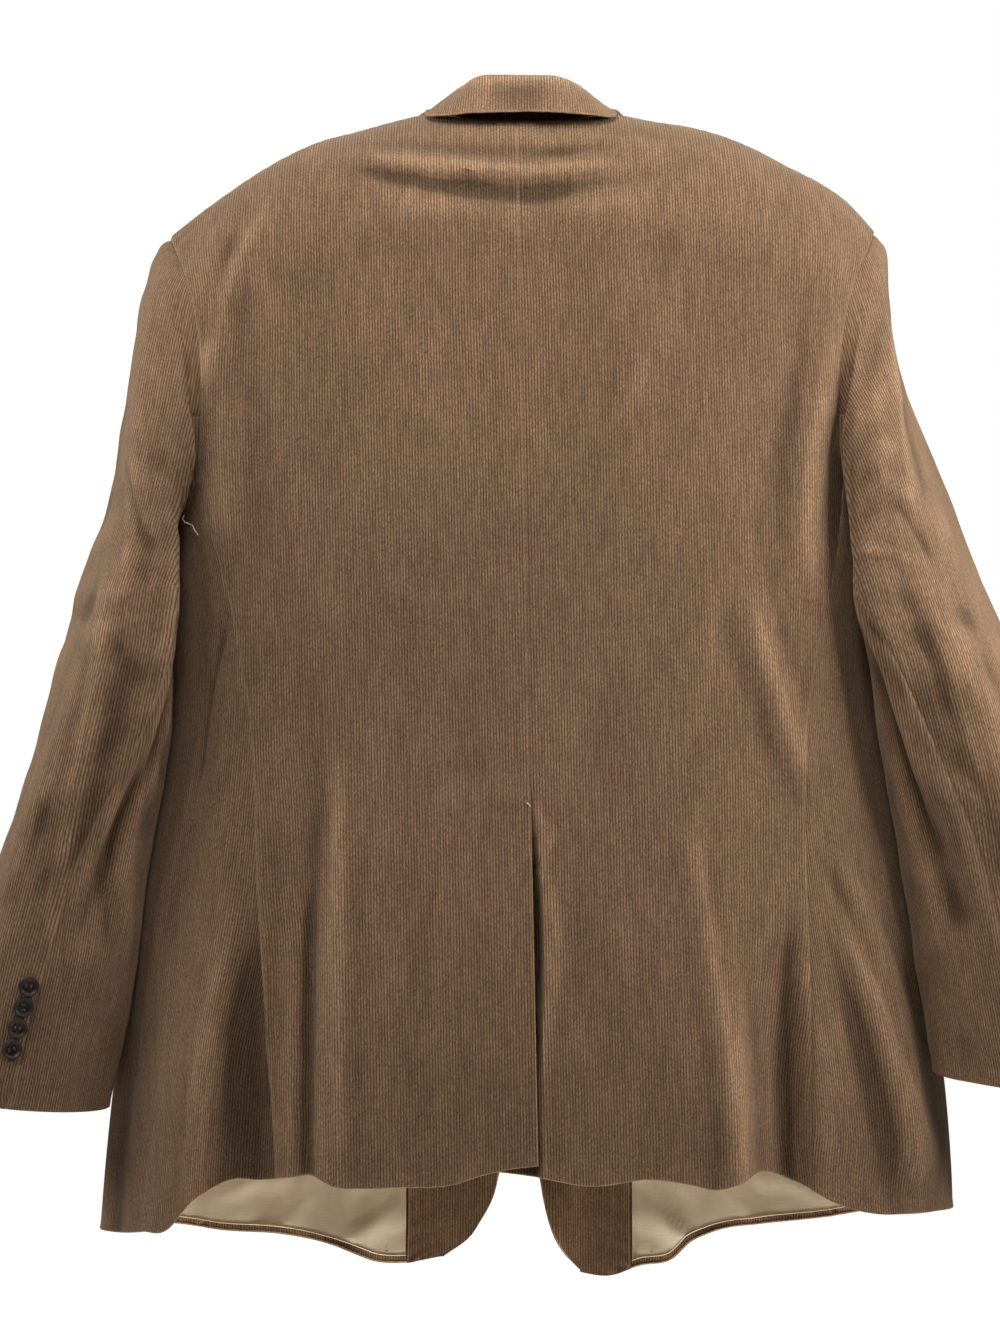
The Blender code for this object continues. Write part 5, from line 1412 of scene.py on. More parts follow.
class Nodes:
    """Short ways to add and join the nodes of one tree."""

    def __init__(self, tree):
        self.tree = tree

    def put(self, socket, value):
        if isinstance(value, bpy.types.NodeSocket):
            self.tree.links.new(value, socket)
        else:
            socket.default_value = value

    def add(self, kind, sockets=(), **settings):
        node = self.tree.nodes.new(kind)
        for name, value in settings.items():
            setattr(node, name, value)
        for name, value in dict(sockets).items():
            self.put(node.inputs[name], value)
        return node

    def math(self, operation, *values):
        node = self.add("ShaderNodeMath", operation=operation)
        for socket, value in zip(node.inputs, values):
            self.put(socket, value)
        return node.outputs[0]

    def noise(self, vector, scale, detail=2.0):
        sockets = {"Vector": vector, "Scale": scale, "Detail": detail}
        return self.add("ShaderNodeTexNoise", sockets).outputs["Fac"]

    def scaled(self, vector, *factors):
        node = self.add("ShaderNodeVectorMath", operation="MULTIPLY")
        self.put(node.inputs[0], vector)
        self.put(node.inputs[1], factors)
        return node.outputs[0]

    def stretch(self, value, low, high, to_low=0.0, to_high=1.0):
        sockets = {"Value": value, "From Min": low, "From Max": high,
                   "To Min": to_low, "To Max": to_high}
        return self.add("ShaderNodeMapRange", sockets, interpolation_type="SMOOTHSTEP").outputs[0]

    def mix(self, factor, first, second, blend="MIX"):
        node = self.add("ShaderNodeMix", data_type="RGBA", blend_type=blend)
        for number, value in ((0, factor), (6, first), (7, second)):
            self.put(node.inputs[number], value)
        return node.outputs[2]

    def cloth(self):
        """Place on the cloth in metres, across and along."""
        node = self.add("ShaderNodeUVMap", uv_map="cloth")
        parts = self.add("ShaderNodeSeparateXYZ", {"Vector": node.outputs["UV"]})
        return node.outputs["UV"], parts.outputs["X"], parts.outputs["Y"]

    def space(self):
        return self.add("ShaderNodeTexCoord").outputs["Object"]


def effect(name, inputs, outputs):
    """A new node group: its tree's helper, its inputs and its outputs."""
    tree = bpy.data.node_groups.new(name, "ShaderNodeTree")
    for socket, value in inputs.items():
        made = tree.interface.new_socket(name=socket, in_out="INPUT", socket_type="NodeSocketFloat")
        made.default_value = value
    for socket in outputs:
        tree.interface.new_socket(name=socket, in_out="OUTPUT", socket_type="NodeSocketFloat")
    start, end = tree.nodes.new("NodeGroupInput"), tree.nodes.new("NodeGroupOutput")
    return Nodes(tree), start.outputs, end.inputs


def make_corduroy_pile():
    """Wales along the cloth, and the short pile on them."""
    nodes, given, made = effect(
        "Corduroy Pile", {"Pitch": 0.0021, "Waver": 0.16, "Roundness": 1.1},
        ("Ridge", "Fleck", "Streak", "Height"))
    cloth, across, along = nodes.cloth()
    drift = nodes.math("SUBTRACT", nodes.noise(nodes.scaled(cloth, 55.0, 14.0, 0.0), 1.0, 2.0), 0.5)
    cycle = nodes.math("DIVIDE", across, given["Pitch"])
    cycle = nodes.math("ADD", cycle, nodes.math("MULTIPLY", drift, given["Waver"]))
    wave = nodes.math("ABSOLUTE", nodes.math("SINE", nodes.math("MULTIPLY", cycle, math.pi)))
    ridge = nodes.math("POWER", wave, given["Roundness"])
    fleck = nodes.stretch(nodes.noise(nodes.scaled(cloth, 1300.0, 420.0, 0.0), 1.0, 3.0), 0.3, 0.7)
    wale = nodes.math("MULTIPLY", nodes.math("FLOOR", cycle), 3.71)
    spot = nodes.add("ShaderNodeCombineXYZ", {"X": wale, "Y": nodes.math("MULTIPLY", along, 45.0)})
    streak = nodes.noise(spot.outputs[0], 1.0, 2.0)
    nodes.put(made["Streak"], nodes.stretch(streak, 0.28, 0.72))
    nodes.put(made["Ridge"], ridge)
    nodes.put(made["Fleck"], fleck)
    pile = nodes.math("MULTIPLY", fleck, 0.25)
    nodes.put(made["Height"], nodes.math("ADD", nodes.math("MULTIPLY", ridge, 0.75), pile))
    return nodes.tree


def make_crushed_nap():
    """Patches where the nap lies another way: broad ones, and small ones drawn out downwards."""
    nodes, given, made = effect("Crushed Nap", {"Broad": 9.0, "Small": 42.0}, ("Mask",))
    space = nodes.space()
    broad = nodes.noise(nodes.scaled(space, 1.0, 1.0, 0.55), given["Broad"], 3.0)
    small = nodes.noise(nodes.scaled(space, 1.0, 1.0, 0.30), given["Small"], 3.0)
    total = nodes.math("ADD", nodes.math("MULTIPLY", broad, 0.6), nodes.math("MULTIPLY", small, 0.4))
    nodes.put(made["Mask"], nodes.stretch(total, 0.36, 0.64))
    return nodes.tree


def make_edge_wear():
    """Cloth rubbed pale next to its seams and edges, unevenly."""
    numbers = {"Width": 0.0024, "Evenness": 0.5, "Stitch": 0.0034}
    nodes, given, made = effect("Edge Wear", numbers, ("Mask", "Line"))
    rim = nodes.add("ShaderNodeAttribute", attribute_name="rim").outputs["Fac"]
    share = nodes.math("DIVIDE", rim, given["Width"])
    near = nodes.math("SUBTRACT", 1.0, nodes.stretch(share, 0.0, 1.0))
    uneven = nodes.stretch(nodes.noise(nodes.space(), 70.0, 3.0), 0.35, 0.65)
    turns = nodes.math("MULTIPLY", nodes.cloth()[2], 2 * math.pi)
    beat = nodes.math("SINE", nodes.math("DIVIDE", turns, given["Stitch"]))
    line = nodes.math("SUBTRACT", 1.0, nodes.stretch(rim, 0.0003, 0.0012))
    dots = nodes.math("MULTIPLY", nodes.stretch(beat, -0.7, 0.5, 0.3, 1.0), line)
    nodes.put(made["Line"], nodes.math("MULTIPLY", dots, nodes.stretch(uneven, 0.0, 1.0, 0.55, 1.0)))
    bare = nodes.math("MULTIPLY", nodes.math("SUBTRACT", 1.0, given["Evenness"]), uneven)
    nodes.put(made["Mask"], nodes.math("MULTIPLY", near, nodes.math("ADD", bare, given["Evenness"])))
    return nodes.tree


def make_fold_wear_and_shade():
    """Cloth paler on the crests of its folds, partly rubbed and partly painted highlight, and darkened
    with painted shade in its hollows.
    """
    nodes, given, made = effect("Fold Wear", {"Depth": 0.0012}, ("Crest", "Hollow"))
    high = nodes.add("ShaderNodeAttribute", attribute_name="crest").outputs["Fac"]
    share = nodes.math("DIVIDE", high, given["Depth"])
    nodes.put(made["Crest"], nodes.stretch(share, 0.0, 1.0))
    nodes.put(made["Hollow"], nodes.stretch(share, 0.0, -1.0))
    return nodes.tree


def make_plain_weave():
    """Threads across and along, with slubs."""
    nodes, given, made = effect("Plain Weave", {"Pitch": 0.0007}, ("Thread", "Slub"))
    cloth, across, along = nodes.cloth()
    turns = [nodes.math("DIVIDE", nodes.math("MULTIPLY", way, math.pi), given["Pitch"])
             for way in (across, along)]
    over = nodes.math("MULTIPLY", *[nodes.math("SINE", turn) for turn in turns])
    nodes.put(made["Thread"], nodes.math("ADD", nodes.math("MULTIPLY", over, 0.5), 0.5))
    nodes.put(made["Slub"], nodes.noise(nodes.scaled(cloth, 60.0, 900.0, 0.0), 1.0, 2.0))
    return nodes.tree


def placed(nodes, tree, **values):
    """A node group placed in a material, with its own values."""
    node = nodes.add("ShaderNodeGroup", node_tree=tree)
    for name, value in values.items():
        nodes.put(node.inputs[name], value)
    return node.outputs


def new_material(name, colour):
    """A material with its tree's helper and its shader."""
    finish = bpy.data.materials.new(name)
    finish.use_nodes = True
    finish.diffuse_color = (*colour, 1.0)
    return Nodes(finish.node_tree), finish.node_tree.nodes["Principled BSDF"]


def tone(colour, factor):
    """A colour made lighter or darker, with its alpha."""
    return tuple(part * factor for part in colour) + (1.0,)


def shaded(colour, shades):
    """A colour with each of its parts made lighter or darker."""
    return tuple(part * shade for part, shade in zip(colour, shades))


def grey(value):
    """A neutral colour, with its alpha."""
    return (value, value, value, 1.0)


def make_corduroy(name, colour, given, groups, wear=1.0):
    """Corduroy: dark grooves between its wales, partly painted shade, crushed nap, pale worn edges, and
    painted highlight and shade on its folds.
    """
    nodes, shader = new_material(name, colour)
    pile = placed(nodes, groups["pile"], Pitch=given.wale_pitch)
    nap = placed(nodes, groups["nap"])["Mask"]
    edge = placed(nodes, groups["wear"])
    # darker grooves between the wales: partly the bare ground of the cloth, partly painted shade
    # standing in for the wales' own shading
    base = nodes.mix(pile["Ridge"], tone(shaded(colour, GROOVE_TONE), 1.0),
                     tone(shaded(colour, WALE_TONE), 1.0))
    for mask, (low, high) in ((nap, NAP_RANGE), (pile["Streak"], STREAK_RANGE),
                              (pile["Fleck"], FLECK_RANGE)):
        base = nodes.mix(1.0, base, nodes.mix(mask, grey(low), grey(high)), "MULTIPLY")
    folds = placed(nodes, groups["folds"])
    # painted highlight, partly rubbed pile, on the crests of the folds, and painted shade in their
    # hollows
    crest = nodes.math("MULTIPLY", folds["Crest"], FOLD_RUB_AND_HIGHLIGHT)
    base = nodes.mix(crest, base, nodes.mix(1.0, base, grey(CREST_RUB_AND_HIGHLIGHT), "MULTIPLY"))
    hollow = nodes.math("MULTIPLY", folds["Hollow"], FOLD_PAINTED_SHADE)
    base = nodes.mix(hollow, base, nodes.mix(1.0, base, grey(HOLLOW_PAINTED_SHADE), "MULTIPLY"))
    rubbed = nodes.math("MULTIPLY", edge["Mask"], given.wear * wear)
    # rubbed cloth keeps its grooves darker too, partly painted shade
    pale = nodes.mix(pile["Ridge"], tone(colour, RUBBED_GROOVE),
                     tone(shaded(colour, RUBBED_TONE), RUBBED_WALE))
    base = nodes.mix(rubbed, base, pale)
    line = nodes.math("MULTIPLY", edge["Line"], given.seam_line)
    nodes.put(shader.inputs["Base Color"], nodes.mix(line, base, tone(colour, SEAM_LINE_TONE)))
    nodes.put(shader.inputs["Roughness"], nodes.stretch(nap, 0.0, 1.0, 0.95, 0.82))
    bump_node = nodes.add("ShaderNodeBump", {
        "Height": pile["Height"], "Distance": 0.0007, "Strength": given.wale_depth})
    nodes.put(shader.inputs["Normal"], bump_node.outputs["Normal"])
    shader.inputs["Specular IOR Level"].default_value = 0.04
    shader.inputs["Sheen Weight"].default_value = given.sheen
    shader.inputs["Sheen Roughness"].default_value = 0.45
    shader.inputs["Sheen Tint"].default_value = (1.0, 0.80, 0.60, 1.0)


def make_lining(name, colour, groups):
    """Lining: a fine plain weave with slubs and a soft lustre."""
    nodes, shader = new_material(name, colour)
    weave = placed(nodes, groups["weave"])
    nap = placed(nodes, groups["nap"], Broad=14.0, Small=60.0)["Mask"]
    base = nodes.mix(weave["Thread"], *(tone(colour, shade) for shade in LINING_RANGE))
    slub = nodes.mix(weave["Slub"], *(grey(shade) for shade in SLUB_RANGE))
    base = nodes.mix(1.0, base, slub, "MULTIPLY")
    uneven = nodes.mix(nap, (0.93, 0.93, 0.92, 1.0), (1.05, 1.05, 1.05, 1.0))
    nodes.put(shader.inputs["Base Color"], nodes.mix(1.0, base, uneven, "MULTIPLY"))
    nodes.put(shader.inputs["Roughness"], nodes.stretch(weave["Slub"], 0.2, 0.8, 0.42, 0.60))
    bump_node = nodes.add("ShaderNodeBump", {
        "Height": weave["Thread"], "Distance": 0.0002, "Strength": 0.25})
    nodes.put(shader.inputs["Normal"], bump_node.outputs["Normal"])
    shader.inputs["Sheen Weight"].default_value = 0.10
    shader.inputs["Specular IOR Level"].default_value = 0.4


def make_button_horn(name, colour):
    """Dark button: clouded, and finely scratched where it is handled."""
    nodes, shader = new_material(name, colour)
    space = nodes.space()
    cloud = nodes.stretch(nodes.noise(nodes.scaled(space, 1.0, 1.0, 0.5), 160.0, 4.0), 0.3, 0.7)
    scratch = nodes.noise(nodes.scaled(space, 1.0, 1.0, 9.0), 600.0, 2.0)
    nodes.put(shader.inputs["Base Color"], nodes.mix(cloud, tone(colour, 0.6), tone(colour, 1.7)))
    nodes.put(shader.inputs["Roughness"], nodes.stretch(scratch, 0.3, 0.7, 0.30, 0.46))
    bump_node = nodes.add("ShaderNodeBump", {"Height": scratch, "Distance": 0.0001, "Strength": 0.2})
    nodes.put(shader.inputs["Normal"], bump_node.outputs["Normal"])


def make_thread(name, colour):
    """Sewing thread: fine light and dark plies."""
    nodes, shader = new_material(name, colour)
    plies = nodes.stretch(nodes.noise(nodes.space(), 1800.0, 2.0), 0.35, 0.65)
    nodes.put(shader.inputs["Base Color"], nodes.mix(plies, tone(colour, 0.6), tone(colour, 1.3)))
    nodes.put(shader.inputs["Roughness"], nodes.stretch(plies, 0.0, 1.0, 0.8, 0.65))


def make_floor(name, colour):
    """Matt studio floor, very slightly mottled."""
    nodes, shader = new_material(name, colour)
    mottle = nodes.stretch(nodes.noise(nodes.space(), 2.2, 3.0), 0.3, 0.7)
    nodes.put(shader.inputs["Base Color"], nodes.mix(mottle, tone(colour, 0.985), tone(colour, 1.0)))
    nodes.put(shader.inputs["Roughness"], nodes.stretch(mottle, 0.0, 1.0, 0.92, 0.86))
    shader.inputs["Emission Color"].default_value = (*colour, 1.0)
    seen = nodes.add("ShaderNodeLightPath").outputs["Is Camera Ray"]
    nodes.put(shader.inputs["Emission Strength"], nodes.math("MULTIPLY", seen, FLOOR_GLOW))


def material(name):
    """A material that the first operator has made."""
    found = bpy.data.materials.get(name)
    if found is None:
        raise RuntimeError(f"{name} isn't made yet: run Cloth and Thread Materials first")
    return found


def ring_mesh(name, solids, cover):
    """A mesh of tubes or lathe shapes: rings of points joined to each other, with capped ends."""
    mesh = bmesh.new()
    for solid in solids:
        rings = [[mesh.verts.new(point) for point in ring] for ring in solid]
        for ring, following in zip(rings, rings[1:]):
            for number in range(len(ring)):
                after = (number + 1) % len(ring)
                mesh.faces.new((ring[number], ring[after], following[after], following[number]))
        mesh.faces.new(rings[0][::-1])
        mesh.faces.new(rings[-1])
    bmesh.ops.recalc_face_normals(mesh, faces=mesh.faces)
    data = bpy.data.meshes.new(name)
    mesh.to_mesh(data)
    mesh.free()
    data.materials.append(material(cover))
    return data


def tube_rings(path, radius, segments=6):
    """Rings of points round a path."""
    path = np.asarray(path, dtype=float)
    ways = unit(np.gradient(path, axis=0))
    side = unit(np.cross(ways, np.array([0.13, 0.37, 0.92])))
    up = np.cross(ways, side)
    turns = np.linspace(0, 2 * math.pi, segments, endpoint=False)
    return [[spot + radius * (math.cos(turn) * one + math.sin(turn) * two) for turn in turns]
            for spot, one, two in zip(path, side, up)]


def turned(mesh, point, normal, spin):
    """Move a mesh from its own axes to a point, its top along a normal."""
    matrix = Vector(normal).to_track_quat("Z", "Y").to_matrix().to_4x4()
    matrix = matrix @ Matrix.Rotation(spin, 4, "Z")
    matrix.translation = Vector(point)
    mesh.transform(matrix)


def sewn_button(name, diameter, point, normal, spin):
    """A turned button with four holes, sewn on with two bars of thread."""
    radius = diameter / 2
    turns = np.linspace(0, 2 * math.pi, BUTTON_SEGMENTS, endpoint=False)
    rings = [[(wide * radius * math.cos(turn), wide * radius * math.sin(turn), high * BUTTON_HEIGHT)
              for turn in turns] for wide, high in BUTTON_SECTION]
    disc = bpy.data.objects.new(name, ring_mesh(name, [rings], "Dark Horn"))
    spread, hole = BUTTON_HOLE_SPREAD * radius, BUTTON_HOLE * radius
    cutter = bmesh.new()
    for across in (-spread, spread):
        for along in (-spread, spread):
            place_at = Matrix.Translation((across, along, BUTTON_HEIGHT / 2))
            bmesh.ops.create_cone(cutter, cap_ends=True, segments=BUTTON_HOLE_SEGMENTS, radius1=hole,
                                  radius2=hole, depth=3 * BUTTON_HEIGHT, matrix=place_at)
    holes = bpy.data.meshes.new(name + "_holes")
    cutter.to_mesh(holes)
    cutter.free()
    punch = bpy.data.objects.new(name + "_holes", holes)
    for each in (disc, punch):
        bpy.context.scene.collection.objects.link(each)
    cut = disc.modifiers.new("Holes", "BOOLEAN")
    cut.operation, cut.object, cut.solver = "DIFFERENCE", punch, "EXACT"
    bpy.context.view_layer.update()
    whole = bpy.data.meshes.new_from_object(disc.evaluated_get(bpy.context.evaluated_depsgraph_get()))
    bpy.data.objects.remove(disc)
    bpy.data.objects.remove(punch)
    whole.name = name
    turned(whole, point, normal, spin)
    whole.shade_smooth()
    whole.set_sharp_from_angle(angle=math.radians(BUTTON_EDGE))
    piece = bpy.data.objects.new(name + "_sewn", whole)
    bpy.context.scene.collection.objects.link(piece)
    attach(piece, "root")
    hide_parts(name)
    tubes = []
    share = np.linspace(0, 1, THREAD_POINTS)
    lift = BUTTON_HEIGHT * (THREAD_FOOT + THREAD_ARCH * np.sin(math.pi * share) ** 0.5)
    for across in (-spread, spread):
        for shift in (-THREAD_SHIFT * hole, THREAD_SHIFT * hole):
            beside = np.full(THREAD_POINTS, across + shift)
            path = np.stack([beside, spread * (2 * share - 1), lift], axis=-1)
            tubes.append(tube_rings(path, THREAD_RADIUS))
    thread = ring_mesh(name + "_thread", tubes, "Sewing Thread")
    turned(thread, point, normal, spin)
    show(name + "_thread", thread)


def on_back(side, across, drop, lift):
    """Points that far off the back's cloth."""
    x, y = body(side, angle_at(side, across, drop), drop)
    return place(side, x, y + lift, drop)


def on_front(across, drop, lift):
    """The same for the left front."""
    x, y = front_point("left", across, drop)
    return place("left", x, y - lift, drop)


def on_lining(side, u, v):
    """The same for a lining, on its inside."""
    points = lining(side)(u, np.full(np.shape(u), v))
    inside = SHELL + LAYER_GAP + LINING_WALL + LINING_EASE + TACK_LIFT
    return points + np.array([0.0, inside, 0.0])


def sleeve_normal(side, turn, ring):
    """Point and outward normal of a sleeve's surface."""
    def surface(at_turn, at_ring):
        return sleeve_point(side, at_turn, at_ring, np.zeros_like(at_turn))
    along = surface(turn + TURN_STEP, ring) - surface(turn - TURN_STEP, ring)
    down = surface(turn, ring + RING_STEP) - surface(turn, ring - RING_STEP)
    return surface(turn, ring)[0], unit(np.cross(along, down))[0] * -SIGN[side]


class JacketSettings(bpy.types.PropertyGroup):
    """Colours and sizes of the jacket's finish."""
    corduroy_colour: FloatVectorProperty(
        name="Corduroy", description="Colour of the wales", subtype="COLOR", size=3, min=0, max=1,
        default=(0.205, 0.124, 0.072))
    lining_colour: FloatVectorProperty(
        name="Lining", description="Colour of the lining", subtype="COLOR", size=3, min=0, max=1,
        default=(0.800, 0.640, 0.445))
    button_colour: FloatVectorProperty(
        name="Buttons", description="Colour of the buttons", subtype="COLOR", size=3, min=0, max=1,
        default=(0.030, 0.022, 0.016))
    thread_colour: FloatVectorProperty(
        name="Thread", description="Colour of the sewing thread", subtype="COLOR", size=3, min=0, max=1,
        default=(0.110, 0.066, 0.036))
    floor_colour: FloatVectorProperty(
        name="Floor", description="Colour of the floor", subtype="COLOR", size=3, min=0, max=1,
        default=(0.86, 0.86, 0.85))
    wale_pitch: FloatProperty(
        name="Wale Pitch", description="Distance from wale to wale", default=0.0021, min=0.0008,
        max=0.008, precision=4, subtype="DISTANCE", unit="LENGTH")
    wale_depth: FloatProperty(
        name="Wale Relief", description="How strongly the wales stand out", default=0.55, min=0,
        max=1, subtype="FACTOR")
    sheen: FloatProperty(
        name="Sheen", description="Bloom of the pile at a low angle", default=0.30, min=0, max=1,
        subtype="FACTOR")
    wear: FloatProperty(
        name="Wear", description="How rubbed the seams and edges are", default=0.55, min=0, max=1,
        subtype="FACTOR")
    seam_line: FloatProperty(
        name="Seam Line", description="How pale the very edge of a seam is", default=0.75, min=0, max=1,
        subtype="FACTOR")
    mesh_spacing: FloatProperty(
        name="Mesh Spacing", description="Distance between points of the cloth's mesh",
        default=0.0052, min=0.003, max=0.02, precision=4, subtype="DISTANCE", unit="LENGTH")
    key_power: FloatProperty(
        name="Key Light", description="Power of the main light", default=13.5, min=0, subtype="POWER",
        unit="POWER")


def cloth_piece(name, surface, edges, wall, outward, materials, **how):
    """Lay one piece of cloth and let it stand for its solid."""
    piece = lay_cloth(name + "_cloth", surface, edges, wall, outward,
                      [material(each) for each in materials],
                      spacing=bpy.context.scene.jacket.mesh_spacing, **how)
    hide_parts(name)


class JacketStep:
    """What every step of the making has in common."""
    bl_options = {"REGISTER", "UNDO"}

    def execute(self, context):
        self.make(context.scene.jacket)
        return {"FINISHED"}


class JACKET_OT_materials(JacketStep, bpy.types.Operator):
    """Make the corduroy, lining, horn, thread and floor materials"""
    bl_idname = "jacket.materials"
    bl_label = "Cloth and Thread Materials"

    def make(self, given):
        groups = {"pile": make_corduroy_pile(), "nap": make_crushed_nap(), "wear": make_edge_wear(),
                  "folds": make_fold_wear_and_shade(), "weave": make_plain_weave()}
        colour = tuple(given.corduroy_colour)
        make_corduroy("Brown Corduroy", colour, given, groups)
        # the collar's copy of the corduroy is painted lighter, standing in for the light on its upturned
        # fall, and is more worn
        make_corduroy("Rubbed Corduroy", tone(colour, COLLAR_PAINTED_LIGHT)[:3], given, groups, COLLAR_WEAR)
        make_lining("Tan Lining", tuple(given.lining_colour), groups)
        make_button_horn("Dark Horn", tuple(given.button_colour))
        make_thread("Sewing Thread", tuple(given.thread_colour))
        make_thread("Pale Thread", tuple(given.lining_colour))
        make_floor("Studio Floor", tuple(given.floor_colour))


class JACKET_OT_back(JacketStep, bpy.types.Operator):
    """Lay the two halves of the back, with their centre seam and vent"""
    bl_idname = "jacket.back"
    bl_label = "Back"

    def make(self, given):
        for side in SIDES:
            edges = (("seam", "fold", VENT_TOP), "seam", "seam", "fold")
            cloth_piece("back_" + side, back_panel(side), edges, SHELL, SIGN[side],
                        ("Brown Corduroy", "Tan Lining"), limit=behind_shoulder_seam,
                        grain=back_grain(side))


class JACKET_OT_sides(JacketStep, bpy.types.Operator):
    """Lay the side panels"""
    bl_idname = "jacket.sides"
    bl_label = "Side Panels"

    def make(self, given):
        for side in SIDES:
            cloth_piece("side_" + side, side_panel(side), ("seam", "seam", "seam", "fold"), SHELL,
                        SIGN[side], ("Brown Corduroy", "Tan Lining"))


class JACKET_OT_fronts(JacketStep, bpy.types.Operator):
    """Lay the two fronts"""
    bl_idname = "jacket.fronts"
    bl_label = "Fronts"

    def make(self, given):
        for side in SIDES:
            cloth_piece("front_" + side, front_panel(side), ("seam", "fold", "seam", "fold"), SHELL,
                        SIGN[side], ("Brown Corduroy",), limit=before_shoulder_seam,
                        grain=front_grain(side))


class JACKET_OT_inside(JacketStep, bpy.types.Operator):
    """Lay the facings and linings inside the fronts"""
    bl_idname = "jacket.inside"
    bl_label = "Facings and Linings"

    def make(self, given):
        under = -(SHELL + LAYER_GAP)
        for side in SIDES:
            cloth_piece("facing_" + side, facing(side), ("seam", "none", "none", "none"), FACING_WALL,
                        SIGN[side], ("Brown Corduroy",), lift=under, limit=before_shoulder_seam,
                        grain=front_grain(side))
            cloth_piece("lining_" + side, lining(side), ("none", "seam", "none", "fold"), LINING_WALL,
                        SIGN[side], ("Tan Lining",), lift=under - LINING_EASE, extra=lining_relief(side))


class JACKET_OT_lapels(JacketStep, bpy.types.Operator):
    """Lay the lapels over the fronts"""
    bl_idname = "jacket.lapels"
    bl_label = "Lapels"

    def make(self, given):
        for side in SIDES:
            cloth_piece("lapel_" + side, lapel(side), ("none", "fold", "fold", "none"), LAPEL_WALL,
                        -SIGN[side], ("Brown Corduroy",), anchor=1.0)


class JACKET_OT_collar(JacketStep, bpy.types.Operator):
    """Lay the collar: its stand, its fold and its fall"""
    bl_idname = "jacket.collar"
    bl_label = "Collar"

    def make(self, given):
        cloth_piece("collar", collar_surface, ("fold", "fold", "seam", "fold"), LAPEL_WALL, 1.0,
                    ("Rubbed Corduroy",), extra=collar_relief)


class JACKET_OT_sleeves(JacketStep, bpy.types.Operator):
    """Lay the upper and under sleeves"""
    bl_idname = "jacket.sleeves"
    bl_label = "Sleeves"

    def make(self, given):
        for side in SIDES:
            for name, surface, line, way in (("upper_sleeve_", upper_sleeve, "outer", 1.0),
                                             ("under_sleeve_", under_sleeve, "inner", -1.0)):
                cloth_piece(name + side, surface(side), ("seam", "seam", "seam", "fold"), SHELL,
                            -SIGN[side], ("Brown Corduroy",),
                            lie=sleeve_lie(side, line, way), soften=near_armhole)


class JACKET_OT_buttons(JacketStep, bpy.types.Operator):
    """Sew on the front and cuff buttons"""
    bl_idname = "jacket.buttons"
    bl_label = "Buttons"

    def make(self, given):
        spins = np.random.default_rng(BUTTON_SEED)
        for number, drop in enumerate(BUTTON_DROPS, start=1):
            x, y = front_point("left", np.array(0.0), np.array(drop))
            point = (float(x), float(y) - LAYER_GAP, -drop)
            sewn_button(f"front_button_{number}", FRONT_BUTTON, point, (0.0, -1.0, 0.0), FRONT_SPIN)
        for side in SIDES:
            for number in range(1, CUFF_BUTTONS + 1):
                ring = np.array([CUFF_BUTTON_RING + CUFF_BUTTON_STEP[side] * (number - 1)])
                turn = RINGS[side]["hind"](ring) - CUFF_BUTTON_TURN
                point, normal = sleeve_normal(side, turn, ring)
                sewn_button(f"cuff_button_{side}_{number}", CUFF_BUTTON, point + normal * LAYER_GAP,
                            normal, float(spins.uniform(0, math.pi)))


class JACKET_OT_stitching(JacketStep, bpy.types.Operator):
    """Sew the buttonholes, the tacks of the vent and the linings, and leave one loose thread"""
    bl_idname = "jacket.stitching"
    bl_label = "Stitching"

    def make(self, given):
        for number, drop in enumerate(BUTTON_DROPS, start=1):
            turns = np.linspace(0, 2 * math.pi, BUTTONHOLE_POINTS)
            across = BUTTONHOLE_MIDDLE + BUTTONHOLE_HALF * np.cos(turns)
            path = on_front(across, drop + BUTTONHOLE_WIDTH * np.sin(turns), THREAD_RADIUS)
            show(f"buttonhole_{number}",
                 ring_mesh(f"buttonhole_{number}", [tube_rings(path, BUTTONHOLE_CORD)], "Sewing Thread"))
        for name, side, spots, radius in THREADS:
            knots = np.array(spots)
            share = np.linspace(0, len(knots) - 1, THREAD_STEPS * len(knots))
            across, drop, lift = (np.interp(share, np.arange(len(knots)), column) for column in knots.T)
            path = on_back(side, across, drop, lift)
            show(name, ring_mesh(name, [tube_rings(path, radius)], "Pale Thread"))
        for side in SIDES:
            reach = TACK_SHARE * np.linspace(-1, 1, TACK_POINTS)
            tacks = [tube_rings(on_lining(side, u + reach, v), THREAD_RADIUS) for u, v in LINING_TACKS]
            show("lining_tacks_" + side, ring_mesh("lining_tacks_" + side, tacks, "Sewing Thread"))


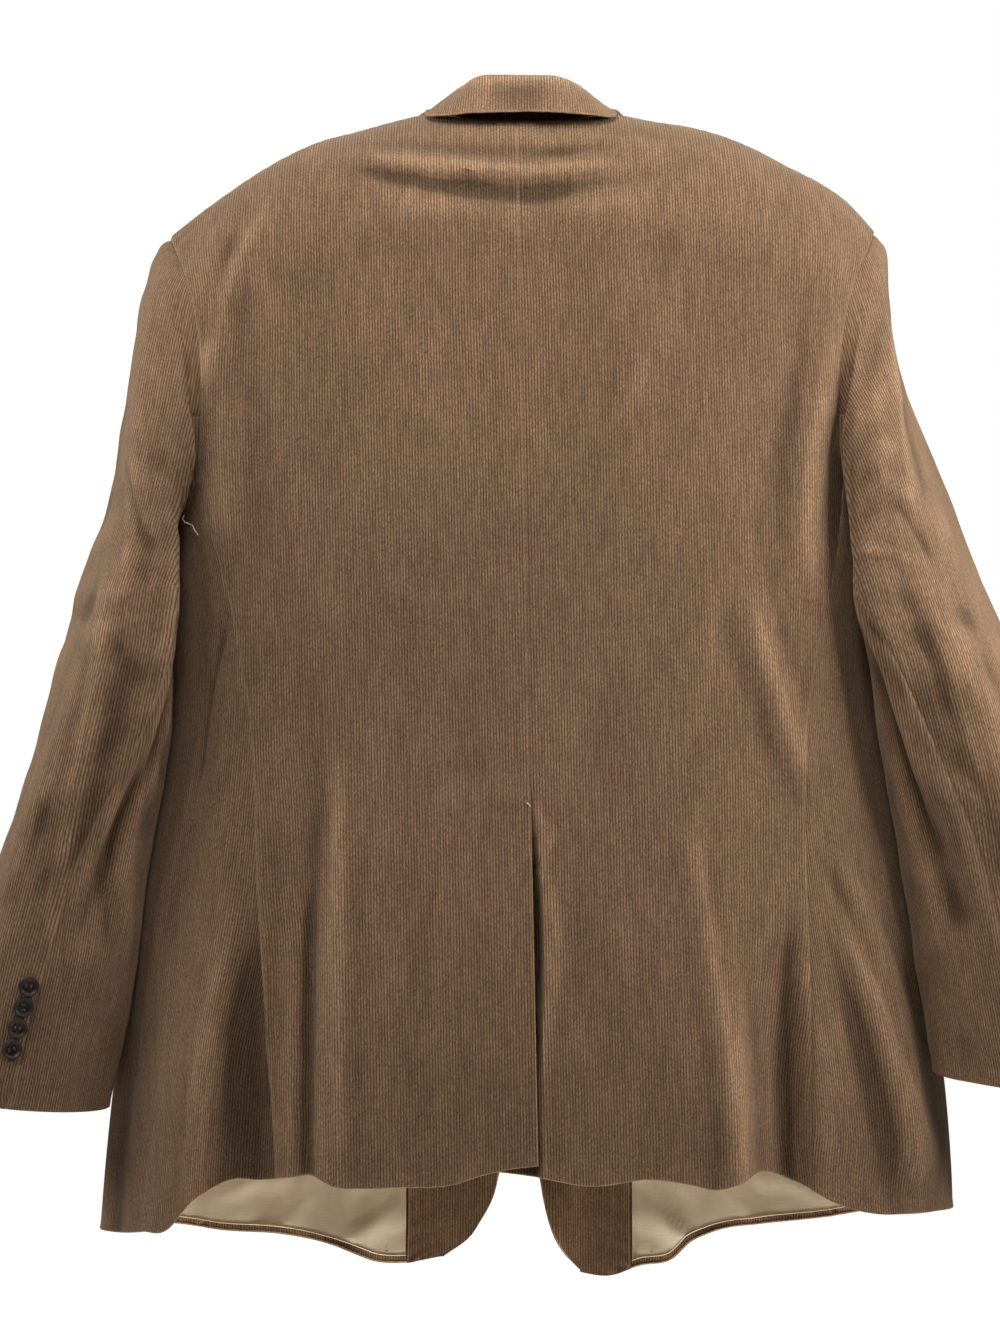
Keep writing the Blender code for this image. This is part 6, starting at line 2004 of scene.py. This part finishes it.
class JACKET_OT_stage(JacketStep, bpy.types.Operator):
    """Set up the floor, the soft lights and the camera"""
    bl_idname = "jacket.stage"
    bl_label = "Stage"

    def make(self, given):
        scene = bpy.context.scene
        floor = bmesh.new()
        bmesh.ops.create_circle(floor, cap_ends=True, segments=FLOOR_SEGMENTS, radius=FLOOR_RADIUS)
        mesh = bpy.data.meshes.new("studio_floor")
        floor.to_mesh(mesh)
        floor.free()
        mesh.materials.append(material("Studio Floor"))
        ground = bpy.data.objects.new("studio_floor", mesh)
        ground.location = (0.0, 0.0, FLOOR_HEIGHT)
        scene.collection.objects.link(ground)
        for name, power, size, spread, where, aim in LIGHTS:
            data = bpy.data.lights.new(name, "AREA")
            data.shape, data.size = "DISK", size
            data.energy = power * given.key_power
            data.spread = math.radians(spread)
            lamp = bpy.data.objects.new(name, data)
            lamp.location = where
            lamp.visible_camera = False
            lamp.rotation_euler = (Vector(aim) - Vector(where)).to_track_quat("-Z", "Y").to_euler()
            scene.collection.objects.link(lamp)
        world = bpy.data.worlds.new("Studio")
        world.use_nodes = True
        nodes = Nodes(world.node_tree)
        seen = nodes.add("ShaderNodeLightPath").outputs["Is Camera Ray"]
        ground_light = world.node_tree.nodes["Background"]
        strength = nodes.stretch(seen, 0.0, 1.0, WORLD_LIGHT, 1.0)
        ground_light.inputs["Color"].default_value = (1.0, 1.0, 1.0, 1.0)
        nodes.put(ground_light.inputs["Strength"], strength)
        scene.world = world
        scene.view_settings.view_transform = "Standard"
        camera = bpy.data.cameras.new("camera")
        camera.lens, camera.sensor_fit, camera.sensor_height = CAMERA_LENS, "VERTICAL", CAMERA_SENSOR
        camera.clip_end = CAMERA_REACH
        eye = bpy.data.objects.new("camera", camera)
        eye.location = CAMERA_PLACE
        eye.rotation_euler = (math.radians(CAMERA_TILT), 0.0, math.pi)
        scene.collection.objects.link(eye)
        scene.camera = eye


STEPS = (JACKET_OT_materials, JACKET_OT_back, JACKET_OT_sides, JACKET_OT_fronts, JACKET_OT_inside,
         JACKET_OT_lapels, JACKET_OT_collar, JACKET_OT_sleeves, JACKET_OT_buttons,
         JACKET_OT_stitching, JACKET_OT_stage)


class JACKET_PT_panel(bpy.types.Panel):
    """Settings and steps of the jacket"""
    bl_idname = "JACKET_PT_panel"
    bl_label = "Corduroy Jacket"
    bl_space_type = "VIEW_3D"
    bl_region_type = "UI"
    bl_category = "Jacket"

    def draw(self, context):
        for name in JacketSettings.__annotations__:
            self.layout.prop(context.scene.jacket, name)
        self.layout.separator()
        for step in STEPS:
            self.layout.operator(step.bl_idname)


CLASSES = (JacketSettings,) + STEPS + (JACKET_PT_panel,)


def register():
    for each in CLASSES:
        bpy.utils.register_class(each)
    bpy.types.Scene.jacket = PointerProperty(type=JacketSettings)


def unregister():
    del bpy.types.Scene.jacket
    for each in reversed(CLASSES):
        bpy.utils.unregister_class(each)


def main():
    register()
    for step in STEPS:
        group, name = step.bl_idname.split(".")
        getattr(getattr(bpy.ops, group), name)()


if __name__ == "__main__":
    main()
